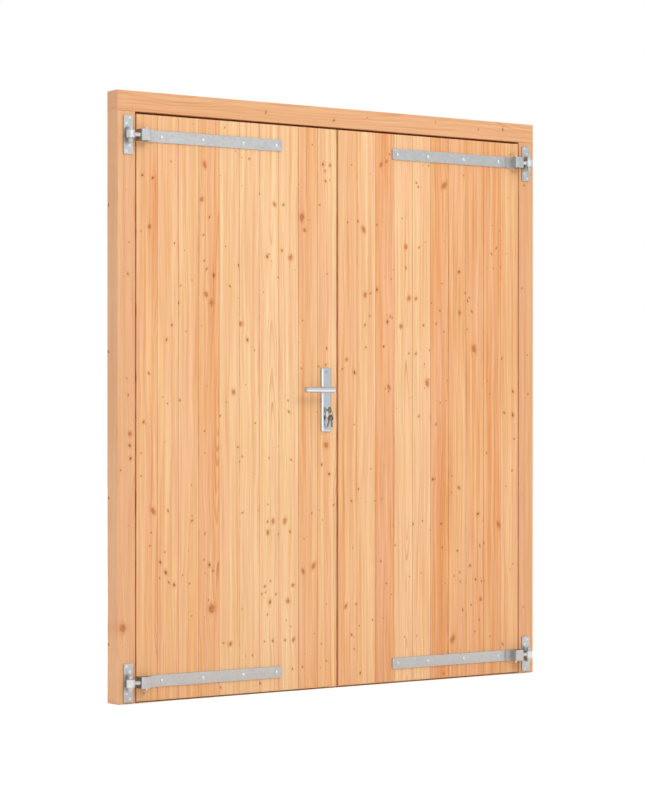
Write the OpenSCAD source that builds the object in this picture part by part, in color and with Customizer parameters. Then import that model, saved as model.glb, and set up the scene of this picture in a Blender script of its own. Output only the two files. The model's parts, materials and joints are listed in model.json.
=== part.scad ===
// A pair of boarded barn doors hung in their timber frame, with adjustable strap hinges, a lever lock
// on the left leaf and edge bolts on the right leaf.
// Millimetres, +Z up, front towards -Y. The origin is at floor level, at the centre of the doorway,
// in the middle of the leaves' thickness.

/* [Frame] */
// Width over the outside of the frame
frame_w = 1820; // [1500:10:2200]
// Height over the outside of the frame
frame_h = 2090; // [1800:10:2400]
// Face width of the jambs and the header
post_w = 70; // [64:1:100]
// Width of the stop laths that the closed leaves meet
stop_w = 20; // [12:1:30]
// Depth of the stop laths, front to back
stop_d = 17.7; // [14:0.1:50]
// Diameter of the screws that join the header to the jambs
frame_screw_d = 8; // [5:0.5:10]
// Length of the screws that join the header to the jambs
frame_screw_l = 160; // [120:5:180]
// Distance from the outside of a jamb to its frame screws
frame_screw_inset = 16; // [12:1:20]
// Diameter of the holes that fix the jambs to a wall
fixing_d = 10; // [6:0.5:12]
// Height of the lowest fixing hole in a jamb
fixing_low = 200; // [150:10:400]
// Distance between the fixing holes of a jamb
fixing_pitch = 500; // [350:10:560]

/* [Leaves] */
// Gap between a leaf and its jamb
side_gap = 4; // [2:0.5:6]
// Gap between the two leaves
centre_gap = 6; // [5:0.5:10]
// Gap between the leaves and the header
top_gap = 8; // [4:0.5:12]
// Gap under the leaves
floor_gap = 5; // [3:1:12]
// Gap between a closed leaf and the stop laths
stop_gap = 0.3; // [0.2:0.1:2]
// Number of boards in a leaf
board_n = 10; // [8:1:12]
// Thickness of the boards
board_t = 20; // [18:1:28]
// Open joint between two boards, seen from the front
board_joint = 0.8; // [0.4:0.1:2]
// Chamfer along the front edges of a board
board_chamfer = 1.5; // [0.5:0.5:4]
// Length of a board's tongue
tongue_l = 6; // [4:0.5:8]
// Thickness of a board's tongue
tongue_t = 6; // [4:0.5:8]
// Play of a tongue in its groove
tongue_play = 0.3; // [0.1:0.1:0.6]
// Thickness of the stiles, rails and braces behind the boards
ledge_t = 32; // [28:1:45]
// Width of the stiles behind the boards
stile_w = 90; // [88:1:120]
// Height of the top rail
top_rail_h = 105; // [100:1:140]
// Height of the middle rail
middle_rail_h = 110; // [80:1:140]
// Height of the bottom rail
bottom_rail_h = 125; // [110:1:160]
// Height of the middle rail's centre above the floor
middle_rail_z = 1000; // [900:10:1100]
// Width of the braces
brace_w = 90; // [60:1:120]

/* [Strap hinges] */
// Distance from the underside of the header to the upper hinges
upper_hinge_drop = 81; // [77:1:95]
// Height of the lower hinges above the floor
lower_hinge_z = 72; // [70:1:95]
// Distance from the outside of a jamb to the hinge pin
pin_inset = 40; // [36:1:44]
// Diameter of the hinge pin
pin_d = 16; // [12:0.5:17]
// Radial play of an eye on its pin
pin_play = 0.06; // [0.03:0.01:0.1]
// Distance of the pin's axis from the face of its plate
pin_offset = 16.5; // [16.5:0.5:20]
// Width of a pin plate
pin_plate_w = 36; // [34:1:42]
// Height of a pin plate
pin_plate_h = 132; // [130:1:140]
// Thickness of the pin plates
pin_plate_t = 5; // [4:0.5:6]
// Corner radius of a pin plate
pin_plate_r = 3; // [1:0.5:6]
// Diameter of the pin plate screws
plate_screw_d = 5; // [4:0.5:6]
// Length of the pin plate screws in the jamb
plate_screw_l = 45; // [30:1:50]
// Outside diameter of an eye
eye_d = 32; // [28:0.5:32]
// Height of an eye
eye_h = 26; // [20:1:28]
// Diameter of an eye bolt's shank
shank_d = 14; // [12:0.5:14]
// Width across the flats of an eye bolt's nuts
nut_af = 21; // [18:0.5:21]
// Thickness of an eye bolt's nut
nut_t = 10; // [8:0.5:10]
// Thickness of an eye bolt's lock nut
lock_nut_t = 6; // [5:0.5:6]
// Distance from the leaf's edge to the strap's near end
strap_edge = 1; // [0:0.5:4]
// Length of a strap
strap_l = 593; // [545:1:625]
// Width of a strap
strap_w = 40; // [36:1:46]
// Thickness of a strap
strap_t = 5; // [4:0.5:5]
// Corner radius at a strap's tip
strap_tip_r = 6; // [2:1:16]
// Length of the box that is folded at the strap's near end
fold_l = 38; // [38:1:44]
// Clearance between the nuts and the front of the folded box
fold_play = 1; // [0.5:0.1:2]
// Length of the folded tail that is welded to the strap
tail_l = 26; // [20:1:34]
// Distance from the strap's near end to the first strap bolt
strap_bolt_first = 98; // [94:1:105]
// Pitch of the first three strap bolts
strap_bolt_pitch = 166; // [150:1:170]
// Distance from the strap's tip to the last strap bolt
strap_bolt_last = 24; // [16:1:30]
// Diameter of the strap bolts
strap_bolt_d = 6; // [5:0.5:8]
// Diameter of a strap bolt's domed head
strap_head_d = 13; // [11:0.5:18]
// Diameter of the cross bolt that locks an eye bolt
cross_bolt_d = 6; // [5:0.5:6]
// Length that a cross bolt stands past the strap's edge
cross_bolt_out = 8; // [4:1:12]

/* [Lock and lever] */
// Height of the lever's axis above the floor
lever_z = 1073; // [1020:1:1100]
// Distance from the leaf's edge to the lever's axis
backset = 50; // [45:1:55]
// Distance from the lever's axis down to the cylinder's axis
cylinder_drop = 72; // [70:1:80]
// Width of a lever plate
plate_w = 41; // [36:1:48]
// Height of a lever plate below the cylinder's axis
plate_tail = 77; // [70:1:95]
// Height of a lever plate above the lever's axis
plate_above = 79; // [76:1:84]
// Thickness of a lever plate
plate_t = 9; // [7:0.5:11]
// Width of the bevel along a lever plate's edges
plate_bevel = 6; // [2:0.5:8]
// Depth of the bevel along a lever plate's edges
plate_bevel_t = 3; // [1:0.5:5]
// Diameter of a lever's round grip
grip_d = 20; // [18:0.5:22]
// Length of a lever from its axis to its tip
lever_l = 122; // [100:1:140]
// Distance of the grip's axis from the face of the leaf
lever_out = 52; // [48:1:60]
// Diameter of a lever's neck
neck_d = 17; // [14:0.5:18]
// Radial play of a neck in its plate
neck_play = 0.06; // [0.03:0.01:0.1]
// Side of the square spindle
spindle_s = 8; // [6:0.5:9]
// Length of the spindle's grip in each lever
spindle_grip = 24; // [18:1:28]
// Thickness of the lock case
case_t = 15; // [14:0.5:18]
// Depth of the lock case behind its forend
case_d = 77; // [72:1:78]
// Height of the lock case above the lever's axis
case_above = 48; // [44:1:54]
// Height of the lock case below the lever's axis
case_below = 112; // [106:1:120]
// Width of the lock's forend and of the strike plate
forend_w = 22; // [18:0.5:24]
// Thickness of the forend and of the strike plate
forend_t = 3; // [2:0.5:4]
// Height of the forend and of the strike plate
forend_h = 235; // [225:1:260]
// Diameter of the lock's follower
follower_d = 20; // [18:0.5:22]
// Thickness of the latch bolt and the dead bolt
bolt_t = 11; // [9:0.5:12]
// Height of the latch bolt
latch_h = 17; // [14:0.5:18]
// Height of the latch bolt's centre above the lever's axis
latch_up = 30; // [28:0.5:33]
// Travel of the latch bolt
latch_throw = 11; // [8:0.5:12]
// Height of the dead bolt
dead_bolt_h = 30; // [24:0.5:32]
// Distance from the lever's axis down to the dead bolt's centre
dead_bolt_down = 36; // [35:0.5:40]
// Travel of the dead bolt
dead_bolt_throw = 20; // [14:0.5:22]
// Length of the latch bolt and the dead bolt
bolt_l = 40; // [36:1:44]
// Play round sliding pieces and let-in pieces
slide_play = 0.2; // [0.1:0.05:0.3]
// Diameter of the cylinder's plug
plug_d = 13; // [11:0.5:14]
// Diameter of a key's bow
bow_d = 23; // [20:0.5:25]
// Thickness of a key
key_t = 2.3; // [1.8:0.1:2.6]
// Height of a key's blade
blade_h = 8; // [6.5:0.5:9]
// Length of a spare key's blade
blade_l = 22; // [18:1:24]
// Diameter of the ring at the middle of its wire
ring_d = 19; // [17:0.5:20]
// Diameter of the ring's wire
wire_d = 1.8; // [1.2:0.1:2.2]

/* [Edge bolts] */
// Diameter of the edge bolts
edge_bolt_d = 10; // [8:0.5:11]
// Length of an edge bolt
edge_bolt_l = 130; // [110:5:150]
// Travel of an edge bolt
edge_bolt_throw = 20; // [12:1:24]
// Height of an edge bolt's case
edge_case_h = 180; // [170:1:220]
// Distance from the end of the leaf to an edge bolt's case
edge_case_inset = 20; // [14:1:30]
// Depth of an edge bolt's case in the stile
edge_case_d = 20; // [19:0.5:24]
// Width of an edge bolt's case
edge_case_w = 14; // [13.5:0.5:18]

/* [Hidden] */
$fn = 48;
past = 1;
leaf_t = board_t + ledge_t;
post_d = leaf_t + stop_gap + stop_d;
front_y = -leaf_t / 2;
back_y = leaf_t / 2;
ledge_y = front_y + board_t;
lock_y = ledge_y + ledge_t / 2;
frame_back_y = front_y + post_d;
stop_y = back_y + stop_gap;
door_h = frame_h - post_w;
jamb_in = frame_w / 2 - post_w;
stop_in = jamb_in - stop_w;
fixing_y = stop_y + stop_d / 2;
fixing_heights = [for (i = [0:3]) fixing_low + i * fixing_pitch];
frame_screw_head_d = 2 * frame_screw_d;
frame_screw_head_t = frame_screw_d / 2;
frame_screw_sink = 8;
frame_screw_pitch = 0.4 * post_d;

leaf_out = jamb_in - side_gap;
leaf_in = centre_gap / 2;
leaf_w = leaf_out - leaf_in;
leaf_z0 = floor_gap;
leaf_z1 = door_h - top_gap;
leaf_h = leaf_z1 - leaf_z0;
board_p = leaf_w / board_n;
board_w = board_p - board_joint;
rail_x0 = -leaf_out + stile_w;
rail_x1 = -leaf_in - stile_w;
top_rail_z = leaf_z1 - top_rail_h;
bottom_rail_top = leaf_z0 + bottom_rail_h;
middle_rail_z0 = middle_rail_z - middle_rail_h / 2;
middle_rail_z1 = middle_rail_z + middle_rail_h / 2;

upper_hinge_z = door_h - upper_hinge_drop;
pin_x = -frame_w / 2 + pin_inset;
pin_y = front_y - pin_plate_t - pin_offset;
face_y = pin_offset + pin_plate_t;
strap_y = face_y - strap_t;
eye_bore_d = pin_d + 2 * pin_play;
seat_gap = 0.3;
pin_base_z = -eye_h / 2 - seat_gap;
pin_base_h = 12;
pin_base_w = pin_d + 5;
pin_top_z = eye_h / 2 + 8;
plate_screw_x = pin_plate_w * 0.18;
plate_screw_head_d = 2.2 * plate_screw_d;
plate_screw_head_t = 0.5 * plate_screw_d;
plate_screw_z_out = pin_plate_h / 2 - 10;
plate_screw_z_in = plate_screw_z_out - 20;
hole_play = 0.2;
strap_start = post_w + side_gap - pin_inset + strap_edge;
strap_reach = strap_start + strap_l;
fold_r = strap_t + fold_play;
fold_front = -nut_af / 2 - fold_play - strap_t;
fold_in0 = strap_start + strap_t;
fold_in1 = strap_start + fold_l - strap_t;
lock_nut_x0 = fold_in0 + nut_t + hole_play;
lock_nut_x1 = lock_nut_x0 + lock_nut_t;
cross_bolt_x = (lock_nut_x1 + fold_in1) / 2;
shank_end = fold_in1 - 0.5;
cross_head_t = 0.7 * cross_bolt_d;
cross_head_d = 1.8 * cross_bolt_d;
strap_bolt_xs = concat(
    [for (i = [0:2]) strap_start + strap_bolt_first + i * strap_bolt_pitch],
    [strap_reach - strap_bolt_last]);
strap_head_t = 0.3 * strap_head_d;
strap_nut_t = 0.8 * strap_bolt_d;
strap_nut_d = 1.9 * strap_bolt_d;
strap_bolt_end = 3;

lock_x = -leaf_in - backset;
cylinder_z = lever_z - cylinder_drop;
plate_z0 = cylinder_z - plate_tail;
plate_h = plate_above + cylinder_drop + plate_tail;
plate_face = front_y - plate_t;
plate_screw_inset = 14;
plate_bolt_zs = [plate_z0 + plate_screw_inset, plate_z0 + plate_h - plate_screw_inset];
plate_bolt_d = 5;
plate_bolt_head_d = 9;
plate_bolt_head_t = 1.6;
collar_d = neck_d + 7;
collar_t = 2;
grip_y = front_y - lever_out;
grip_edge = 2;
case_x0 = -leaf_in - forend_t - case_d;
case_z0 = lever_z - case_below;
case_z1 = lever_z + case_above;
forend_z0 = (case_z0 + case_z1 - forend_h) / 2;
bolt_back = 0.5;
latch_z = lever_z + latch_up;
dead_bolt_z = lever_z - dead_bolt_down;
strike_room = 2;
profile_d = 17;
profile_leg_w = 10;
profile_h = 33;
cylinder_out = 1.5;
cylinder_y0 = plate_face - cylinder_out;
plug_l = 30;
plug_play = 0.05;
blade_in = 24;
bow_out = 5;
bow_y = cylinder_y0 - bow_out - bow_d / 2;
bow_hole_d = 6;
bow_hole_off = bow_d / 2 - bow_hole_d / 2 - 2.5;
hang_play = 0.6;
hang_drop = bow_hole_d / 2 - wire_d / 2 - hang_play;
ring_y = bow_y - bow_hole_off;
ring_z = cylinder_z - hang_drop - ring_d / 2;
spare_gap = 2.4;
spare_off = (key_t + spare_gap) / 2;
spare_z = ring_z - sqrt(pow(ring_d / 2, 2) - pow(spare_off, 2)) - hang_drop;
spare_tilts = [16, -6];

edge_bolt_x = leaf_in + edge_case_d / 2 + 2;
edge_case_end = leaf_z1 - edge_case_inset;
edge_bolt_play = 0.06;
edge_peg_d = 6;
edge_peg_up = 10;
keeper_depth = edge_bolt_throw - top_gap + 6;
leaf_mid_z = (leaf_z0 + leaf_z1) / 2;

LEFT = -1;
RIGHT = 1;

// A box between two corners
module block(low, high) {
    translate(low) cube(high - low);
}

// Pieces are drawn for the left leaf and mirrored for the right one
module on_side(side) {
    if (side == LEFT) children();
    else mirror([1, 0, 0]) children();
}

// Inside lever pieces are the outside ones, mirrored through the leaf
module on_inside() {
    mirror([0, 1, 0]) children();
}

// A hinge is drawn round its pin, with the leaf towards +X and +Y; the upper ones hang upside down,
// so that the leaf can't be lifted off
module at_lower_hinge(side) {
    on_side(side) translate([pin_x, pin_y, lower_hinge_z]) children();
}
module at_upper_hinge(side) {
    on_side(side) translate([pin_x, pin_y, upper_hinge_z]) mirror([0, 0, 1]) children();
}
module at_both_hinges(side) {
    at_lower_hinge(side) children();
    at_upper_hinge(side) children();
}

// A round bar along +Y from y0 to y1
module bar_y(d, y0, y1) {
    translate([0, y0, 0]) rotate([-90, 0, 0]) cylinder(d = d, h = y1 - y0);
}

// A round bar along +X from x0 to x1
module bar_x(d, x0, x1) {
    translate([x0, 0, 0]) rotate([0, 90, 0]) cylinder(d = d, h = x1 - x0);
}

// A hexagonal prism along +Y, af across its flats, with a bore
module nut_y(af, bore_d, y0, y1) {
    translate([0, y0, 0]) rotate([-90, 0, 0]) difference() {
        rotate(30) cylinder(d = af / cos(30), h = y1 - y0, $fn = 6);
        translate([0, 0, -past]) cylinder(d = bore_d, h = y1 - y0 + 2 * past);
    }
}

// Places along the pin plates for their four screws, in a zigzag
module at_plate_screws() {
    for (end = [-1, 1]) {
        translate([-end * plate_screw_x, 0, end * plate_screw_z_out]) children();
        translate([end * plate_screw_x, 0, end * plate_screw_z_in]) children();
    }
}

module at_strap_bolts() {
    for (x = strap_bolt_xs) translate([x, 0, 0]) children();
}

// Bored ways for the strap bolts through boards and rails
module strap_bolt_holes(side) {
    at_both_hinges(side) at_strap_bolts()
        bar_y(strap_bolt_d + 2 * hole_play, face_y - past, face_y + leaf_t + past);
}

/* Frame */

module fixing_holes(side) {
    on_side(side) for (z = fixing_heights)
        translate([0, fixing_y, z]) bar_x(fixing_d, -frame_w / 2 - past, -stop_in + past);
}

// Both screws of one corner, as plain shanks
module at_frame_screws(side) {
    mid_y = (front_y + frame_back_y) / 2;
    on_side(side) for (end = [-0.5, 0.5])
        translate([-frame_w / 2 + frame_screw_inset, mid_y + end * frame_screw_pitch, frame_h]) children();
}

module frame_screw_holes(side) {
    at_frame_screws(side) {
        translate([0, 0, -frame_screw_l - frame_screw_sink - past])
            cylinder(d = frame_screw_d + 2 * hole_play, h = frame_screw_l + frame_screw_sink + 2 * past);
        translate([0, 0, -frame_screw_sink])
            cylinder(d = frame_screw_head_d + 2 * past, h = frame_screw_sink + past);
    }
}

module frame_screw() {
    translate([0, 0, -frame_screw_sink]) {
        cylinder(d = frame_screw_head_d, h = frame_screw_head_t);
        translate([0, 0, -frame_screw_l]) cylinder(d = frame_screw_d, h = frame_screw_l + past);
    }
}

module jamb(side) {
    color("#d9a06c") difference() {
        on_side(side) block([-frame_w / 2, front_y, 0], [-jamb_in, frame_back_y, door_h]);
        fixing_holes(side);
        frame_screw_holes(side);
        at_both_hinges(side) at_plate_screws()
            bar_y(plate_screw_d + 2 * hole_play, face_y - past, face_y + plate_screw_l + past);
    }
}

module header() {
    color("#dba878") difference() {
        block([-frame_w / 2, front_y, door_h], [frame_w / 2, frame_back_y, frame_h]);
        frame_screw_holes(LEFT);
        frame_screw_holes(RIGHT);
        translate([edge_bolt_x, lock_y, door_h - past])
            cylinder(d = edge_bolt_d + 2, h = keeper_depth + past);
    }
}

module side_stop(side) {
    color("#cf9a66") difference() {
        on_side(side) block([-jamb_in, stop_y, 0], [-stop_in, frame_back_y, door_h - stop_w]);
        fixing_holes(side);
    }
}

module head_stop() {
    color("#cf9a66") block([-jamb_in, stop_y, door_h - stop_w], [jamb_in, frame_back_y, door_h]);
}

module frame_screws() {
    color("silver") {
        at_frame_screws(LEFT) frame_screw();
        at_frame_screws(RIGHT) frame_screw();
    }
}

/* Hinges */

// Plate with its welded foot and standing pin, round the pin's axis
module pin_plate() {
    color("#b9bdc0") difference() {
        union() {
            translate([0, face_y, 0]) rotate([90, 0, 0]) linear_extrude(pin_plate_t) plate_outline();
            translate([-pin_base_w / 2, 0, pin_base_z - pin_base_h])
                cube([pin_base_w, pin_offset + past, pin_base_h]);
            translate([0, 0, pin_base_z - pin_base_h]) cylinder(d = pin_base_w, h = pin_base_h);
            translate([0, 0, pin_base_z - past]) cylinder(d = pin_d, h = pin_top_z - pin_base_z + past);
            translate([0, 0, pin_top_z]) sphere(d = pin_d);
        }
        at_plate_screws() bar_y(plate_screw_d + 2 * hole_play, pin_offset - past, face_y + past);
    }
}

module plate_outline() {
    inner_w = pin_plate_w - 2 * pin_plate_r;
    inner_h = pin_plate_h - 2 * pin_plate_r;
    square([pin_plate_w, inner_h], center = true);
    square([inner_w, pin_plate_h], center = true);
    for (x = [-0.5, 0.5], z = [-0.5, 0.5]) translate([x * inner_w, z * inner_h]) circle(r = pin_plate_r);
}

module plate_screw() {
    bar_y(plate_screw_head_d, pin_offset - plate_screw_head_t, pin_offset);
    bar_y(plate_screw_d, pin_offset - past, face_y + plate_screw_l);
}

module pin_plate_screws() {
    color("#d5d7d8") for (side = [LEFT, RIGHT]) at_both_hinges(side) at_plate_screws() plate_screw();
}

// Flat strap with its near end folded into an open box and welded back on itself
module strap() {
    color("#b9bdc0") difference() {
        union() {
            translate([0, 0, -strap_w / 2]) linear_extrude(strap_w) fold_profile();
            translate([0, face_y, 0]) rotate([90, 0, 0]) linear_extrude(strap_t) strap_outline();
        }
        bar_x(shank_d + 2 * hole_play, strap_start - past, fold_in0 + past);
        at_strap_bolts() bar_y(strap_bolt_d + 2 * hole_play, strap_y - past, face_y + past);
    }
}

// Section of the folded box, seen from above, with its tail
module fold_profile() {
    difference() {
        fold_outline(strap_start, strap_start + fold_l, fold_front, face_y, fold_r);
        fold_outline(fold_in0, fold_in1, fold_front + strap_t, strap_y, fold_play);
    }
    translate([strap_start + fold_l - past, strap_y - strap_t]) square([tail_l + past, strap_t + past]);
}

// Rectangle with round front corners
module fold_outline(x0, x1, y0, y1, r) {
    translate([x0, y0 + r]) square([x1 - x0, y1 - y0 - r]);
    translate([x0 + r, y0]) square([x1 - x0 - 2 * r, y1 - y0]);
    for (x = [x0 + r, x1 - r]) translate([x, y0 + r]) circle(r = r);
}

// Front view of the flat strap, with round corners at its tip
module strap_outline() {
    body_l = strap_reach - strap_tip_r - strap_start - fold_r;
    translate([strap_start + fold_r, -strap_w / 2]) square([body_l, strap_w]);
    inner_w = strap_w - 2 * strap_tip_r;
    translate([strap_start + fold_r, -inner_w / 2]) square([strap_reach - strap_start - fold_r, inner_w]);
    for (z = [-0.5, 0.5]) translate([strap_reach - strap_tip_r, z * inner_w]) circle(r = strap_tip_r);
}

// Forged eye on a threaded shank that goes through the end of the folded box
module eye_bolt() {
    difference() {
        union() {
            translate([0, 0, -eye_h / 2]) cylinder(d = eye_d, h = eye_h);
            bar_x(shank_d, 0, shank_end);
        }
        translate([0, 0, -eye_h]) cylinder(d = eye_bore_d, h = 2 * eye_h);
        translate([cross_bolt_x, 0, -shank_d])
            cylinder(d = cross_bolt_d + 2 * hole_play, h = 2 * shank_d);
    }
}

module eye_bolts(side) {
    color("#c3c7ca") at_both_hinges(side) eye_bolt();
}

module eye_nuts(side) {
    color("#cbcfd1") at_both_hinges(side) rotate([0, 0, -90]) {
        nut_y(nut_af, shank_d + hole_play, fold_in0, fold_in0 + nut_t);
        nut_y(nut_af, shank_d + hole_play, lock_nut_x0, lock_nut_x1);
    }
}

// Bolt across the end of the shank, with its nut
module cross_bolt() {
    tip_z = -strap_w / 2 - cross_bolt_out;
    head_z = shank_d / 2 + hole_play;
    translate([cross_bolt_x, 0, 0]) {
        translate([0, 0, head_z]) rotate(30) cylinder(d = cross_head_d, h = cross_head_t, $fn = 6);
        translate([0, 0, tip_z]) cylinder(d = cross_bolt_d, h = head_z - tip_z + past);
    }
}

module cross_nut() {
    translate([cross_bolt_x, 0, -shank_d / 2 - hole_play - cross_head_t]) difference() {
        rotate(30) cylinder(d = cross_head_d, h = cross_head_t, $fn = 6);
        translate([0, 0, -past]) cylinder(d = cross_bolt_d + hole_play, h = cross_head_t + 2 * past);
    }
}

module cross_bolts(side) {
    color("#cbcfd1") at_both_hinges(side) {
        cross_bolt();
        cross_nut();
    }
}

// Domed bolt through strap, boards and rail
module strap_bolt() {
    intersection() {
        bar_y(strap_head_d, strap_y - strap_head_t, strap_y);
        translate([0, strap_y + 0.45 * strap_head_d, 0]) sphere(d = 1.5 * strap_head_d);
    }
    bar_y(strap_bolt_d, strap_y - past, face_y + leaf_t + strap_nut_t + strap_bolt_end);
}

module strap_bolts(side) {
    color("#d5d7d8") at_both_hinges(side) at_strap_bolts() {
        strap_bolt();
        translate([0, face_y + leaf_t, 0])
            nut_y(strap_nut_d * cos(30), strap_bolt_d + hole_play, 0, strap_nut_t);
    }
}

/* Leaves */

// Section of a tongued and grooved board, front edges chamfered
module board_profile(groove, tongue) {
    tongue_y0 = (board_t - tongue_t) / 2;
    tongue_y1 = tongue_y0 + tongue_t;
    groove_y0 = tongue_y0 - tongue_play;
    groove_y1 = tongue_y1 + tongue_play;
    groove_l = tongue_l + tongue_play;
    tip = board_w + tongue_l;
    polygon(concat(
        [[board_chamfer, 0], [board_w - board_chamfer, 0], [board_w, board_chamfer]],
        tongue ? [[board_w, tongue_y0], [tip, tongue_y0], [tip, tongue_y1], [board_w, tongue_y1]] : [],
        [[board_w, board_t], [0, board_t]],
        groove ? [[0, groove_y1], [groove_l, groove_y1], [groove_l, groove_y0], [0, groove_y0]] : [],
        [[0, board_chamfer]]));
}

module boards(side) {
    on_side(side) for (i = [0:board_n - 1])
        translate([-leaf_out + i * board_p + board_joint / 2, front_y, leaf_z0])
            linear_extrude(leaf_h) board_profile(i > 0, i < board_n - 1);
}

module left_boards() {
    color("#e3b078") difference() {
        boards(LEFT);
        strap_bolt_holes(LEFT);
        lever_holes();
    }
}

module right_boards() {
    color("#e3b078") difference() {
        boards(RIGHT);
        strap_bolt_holes(RIGHT);
    }
}

module hinge_stile(side) {
    color("#d8a870") difference() {
        on_side(side) block([-leaf_out, ledge_y, leaf_z0], [rail_x0, back_y, leaf_z1]);
        strap_bolt_holes(side);
    }
}

module meeting_stile(side) {
    on_side(side) block([rail_x1, ledge_y, leaf_z0], [-leaf_in, back_y, leaf_z1]);
}

module rail(side, z0, z1) {
    color("#d4a26a") difference() {
        on_side(side) block([rail_x0, ledge_y, z0], [rail_x1, back_y, z1]);
        strap_bolt_holes(side);
    }
}

module top_rail(side) {
    rail(side, top_rail_z, leaf_z1);
}

module middle_rail(side) {
    rail(side, middle_rail_z0, middle_rail_z1);
}

module bottom_rail(side) {
    rail(side, leaf_z0, bottom_rail_top);
}

// Slanting brace that fills the panel from z0 to z1, its foot at the hinge side
module brace(side, z0, z1) {
    panel_w = rail_x1 - rail_x0;
    panel_h = z1 - z0;
    angle = atan2(panel_h, panel_w);
    color("#cf9c64") on_side(side) translate([rail_x0, back_y, z0]) rotate([90, 0, 0])
        linear_extrude(ledge_t) intersection() {
            square([panel_w, panel_h]);
            rotate(angle) translate([-brace_w, -brace_w / 2])
                square([panel_w + panel_h, brace_w]);
        }
}

module upper_brace(side) {
    brace(side, middle_rail_z1, top_rail_z);
}

module lower_brace(side) {
    brace(side, bottom_rail_top, middle_rail_z0);
}

/* Lock and lever, on the left leaf */

module at_lever() {
    translate([lock_x, 0, lever_z]) children();
}

module at_cylinder() {
    translate([lock_x, 0, cylinder_z]) children();
}

module at_plate_bolts() {
    for (z = plate_bolt_zs) translate([lock_x, 0, z]) children();
}

// Keyhole section of the lock cylinder, grown by a clearance, along Y
module cylinder_profile(play, y0, y1) {
    leg_r = profile_leg_w / 2 + play;
    leg_z = profile_h - profile_d / 2 - profile_leg_w / 2;
    bar_y(profile_d + 2 * play, y0, y1);
    translate([0, 0, -leg_z]) bar_y(2 * leg_r, y0, y1);
    block([-leg_r, y0, -leg_z], [leg_r, y1, 0]);
}

// Ways through the leaf for the spindle, the cylinder and the plate bolts
module lever_holes() {
    at_lever() bar_y(follower_d, front_y - past, back_y + past);
    at_cylinder() cylinder_profile(past, front_y - past, back_y + past);
    at_plate_bolts() bar_y(plate_bolt_d + 2 * hole_play, front_y - past, back_y + past);
}

// Box round the lock case and its forend, grown by a clearance
module lock_body(play) {
    block([case_x0 - play, lock_y - case_t / 2 - play, case_z0 - play],
        [-leaf_in + past * sign(play), lock_y + case_t / 2 + play, case_z1 + play]);
    block([-leaf_in - forend_t - play, lock_y - forend_w / 2 - play, forend_z0 - play],
        [-leaf_in + past * sign(play), lock_y + forend_w / 2 + play, forend_z0 + forend_h + play]);
}

module left_lock_stile() {
    color("#d8a870") difference() {
        meeting_stile(LEFT);
        lock_body(slide_play);
        lever_holes();
    }
}

// A bolt's pocket that opens at the edge x, grown by a clearance
module bolt_pocket(x0, x1, z, h, play) {
    half_t = bolt_t / 2 + play;
    half_h = h / 2 + play;
    block([x0, lock_y - half_t, z - half_h], [x1, lock_y + half_t, z + half_h]);
}

module lock_case() {
    pocket_x = -leaf_in - bolt_back - bolt_l - past;
    color("#a9adb0") difference() {
        lock_body(0);
        at_lever() bar_y(follower_d + 2 * pin_play, lock_y - case_t, lock_y + case_t);
        at_cylinder() cylinder_profile(slide_play, lock_y - case_t, lock_y + case_t);
        bolt_pocket(pocket_x, -leaf_in + past, latch_z, latch_h, slide_play);
        bolt_pocket(pocket_x, -leaf_in + past, dead_bolt_z, dead_bolt_h, slide_play);
    }
}

// Latch bolt, held back; its bevel meets the strike as the leaf closes
module latch_bolt() {
    x1 = -leaf_in - bolt_back;
    x0 = x1 - bolt_l;
    color("#c8ccce") translate([0, lock_y, latch_z - latch_h / 2]) linear_extrude(latch_h)
        polygon([[x0, -bolt_t / 2], [x1, -bolt_t / 2], [x1 - bolt_t + 2, bolt_t / 2], [x0, bolt_t / 2]]);
}

module dead_bolt() {
    x1 = -leaf_in - bolt_back;
    color("#c8ccce") bolt_pocket(x1 - bolt_l, x1, dead_bolt_z, dead_bolt_h, 0);
}

module lock_follower() {
    color("#b5a642") at_lever() difference() {
        bar_y(follower_d, lock_y - case_t / 2, lock_y + case_t / 2);
        spindle_bar(slide_play, lock_y - case_t, lock_y + case_t);
    }
}

// Square bar along Y, grown by a clearance
module spindle_bar(play, y0, y1) {
    half = spindle_s / 2 + play / 2;
    block([-half, y0, -half], [half, y1, half]);
}

module lever_spindle() {
    end_y = back_y + plate_t + spindle_grip;
    color("#9a9da0") at_lever() spindle_bar(0, -end_y, end_y);
}

// Bevelled plate section, seen along the plate, with its back at y = 0
module bevel_section(w) {
    polygon([[-w / 2, 0], [-w / 2, -plate_t + plate_bevel_t], [-w / 2 + plate_bevel, -plate_t],
        [w / 2 - plate_bevel, -plate_t], [w / 2, -plate_t + plate_bevel_t], [w / 2, 0]]);
}

// Lever plate bevelled along its sides and its ends, with the lever's bearing collar
module lever_plate() {
    difference() {
        union() {
            translate([lock_x, front_y, plate_z0]) intersection() {
                linear_extrude(plate_h) bevel_section(plate_w);
                translate([0, 0, plate_h / 2]) rotate([0, 90, 0]) linear_extrude(2 * plate_w, center = true)
                    bevel_section(plate_h);
            }
            at_lever() bar_y(collar_d, plate_face - collar_t, plate_face + past);
        }
        at_lever() bar_y(neck_d + 2 * neck_play, plate_face - 2 * collar_t, front_y + past);
        at_cylinder() cylinder_profile(slide_play, plate_face - past, front_y + past);
        at_plate_bolts() bar_y(plate_bolt_d + 2 * hole_play, plate_face - past, front_y + past);
    }
}

module outside_plate() {
    color("#d2d5d8") lever_plate();
}

module inside_plate() {
    color("#d2d5d8") on_inside() lever_plate();
}

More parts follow.
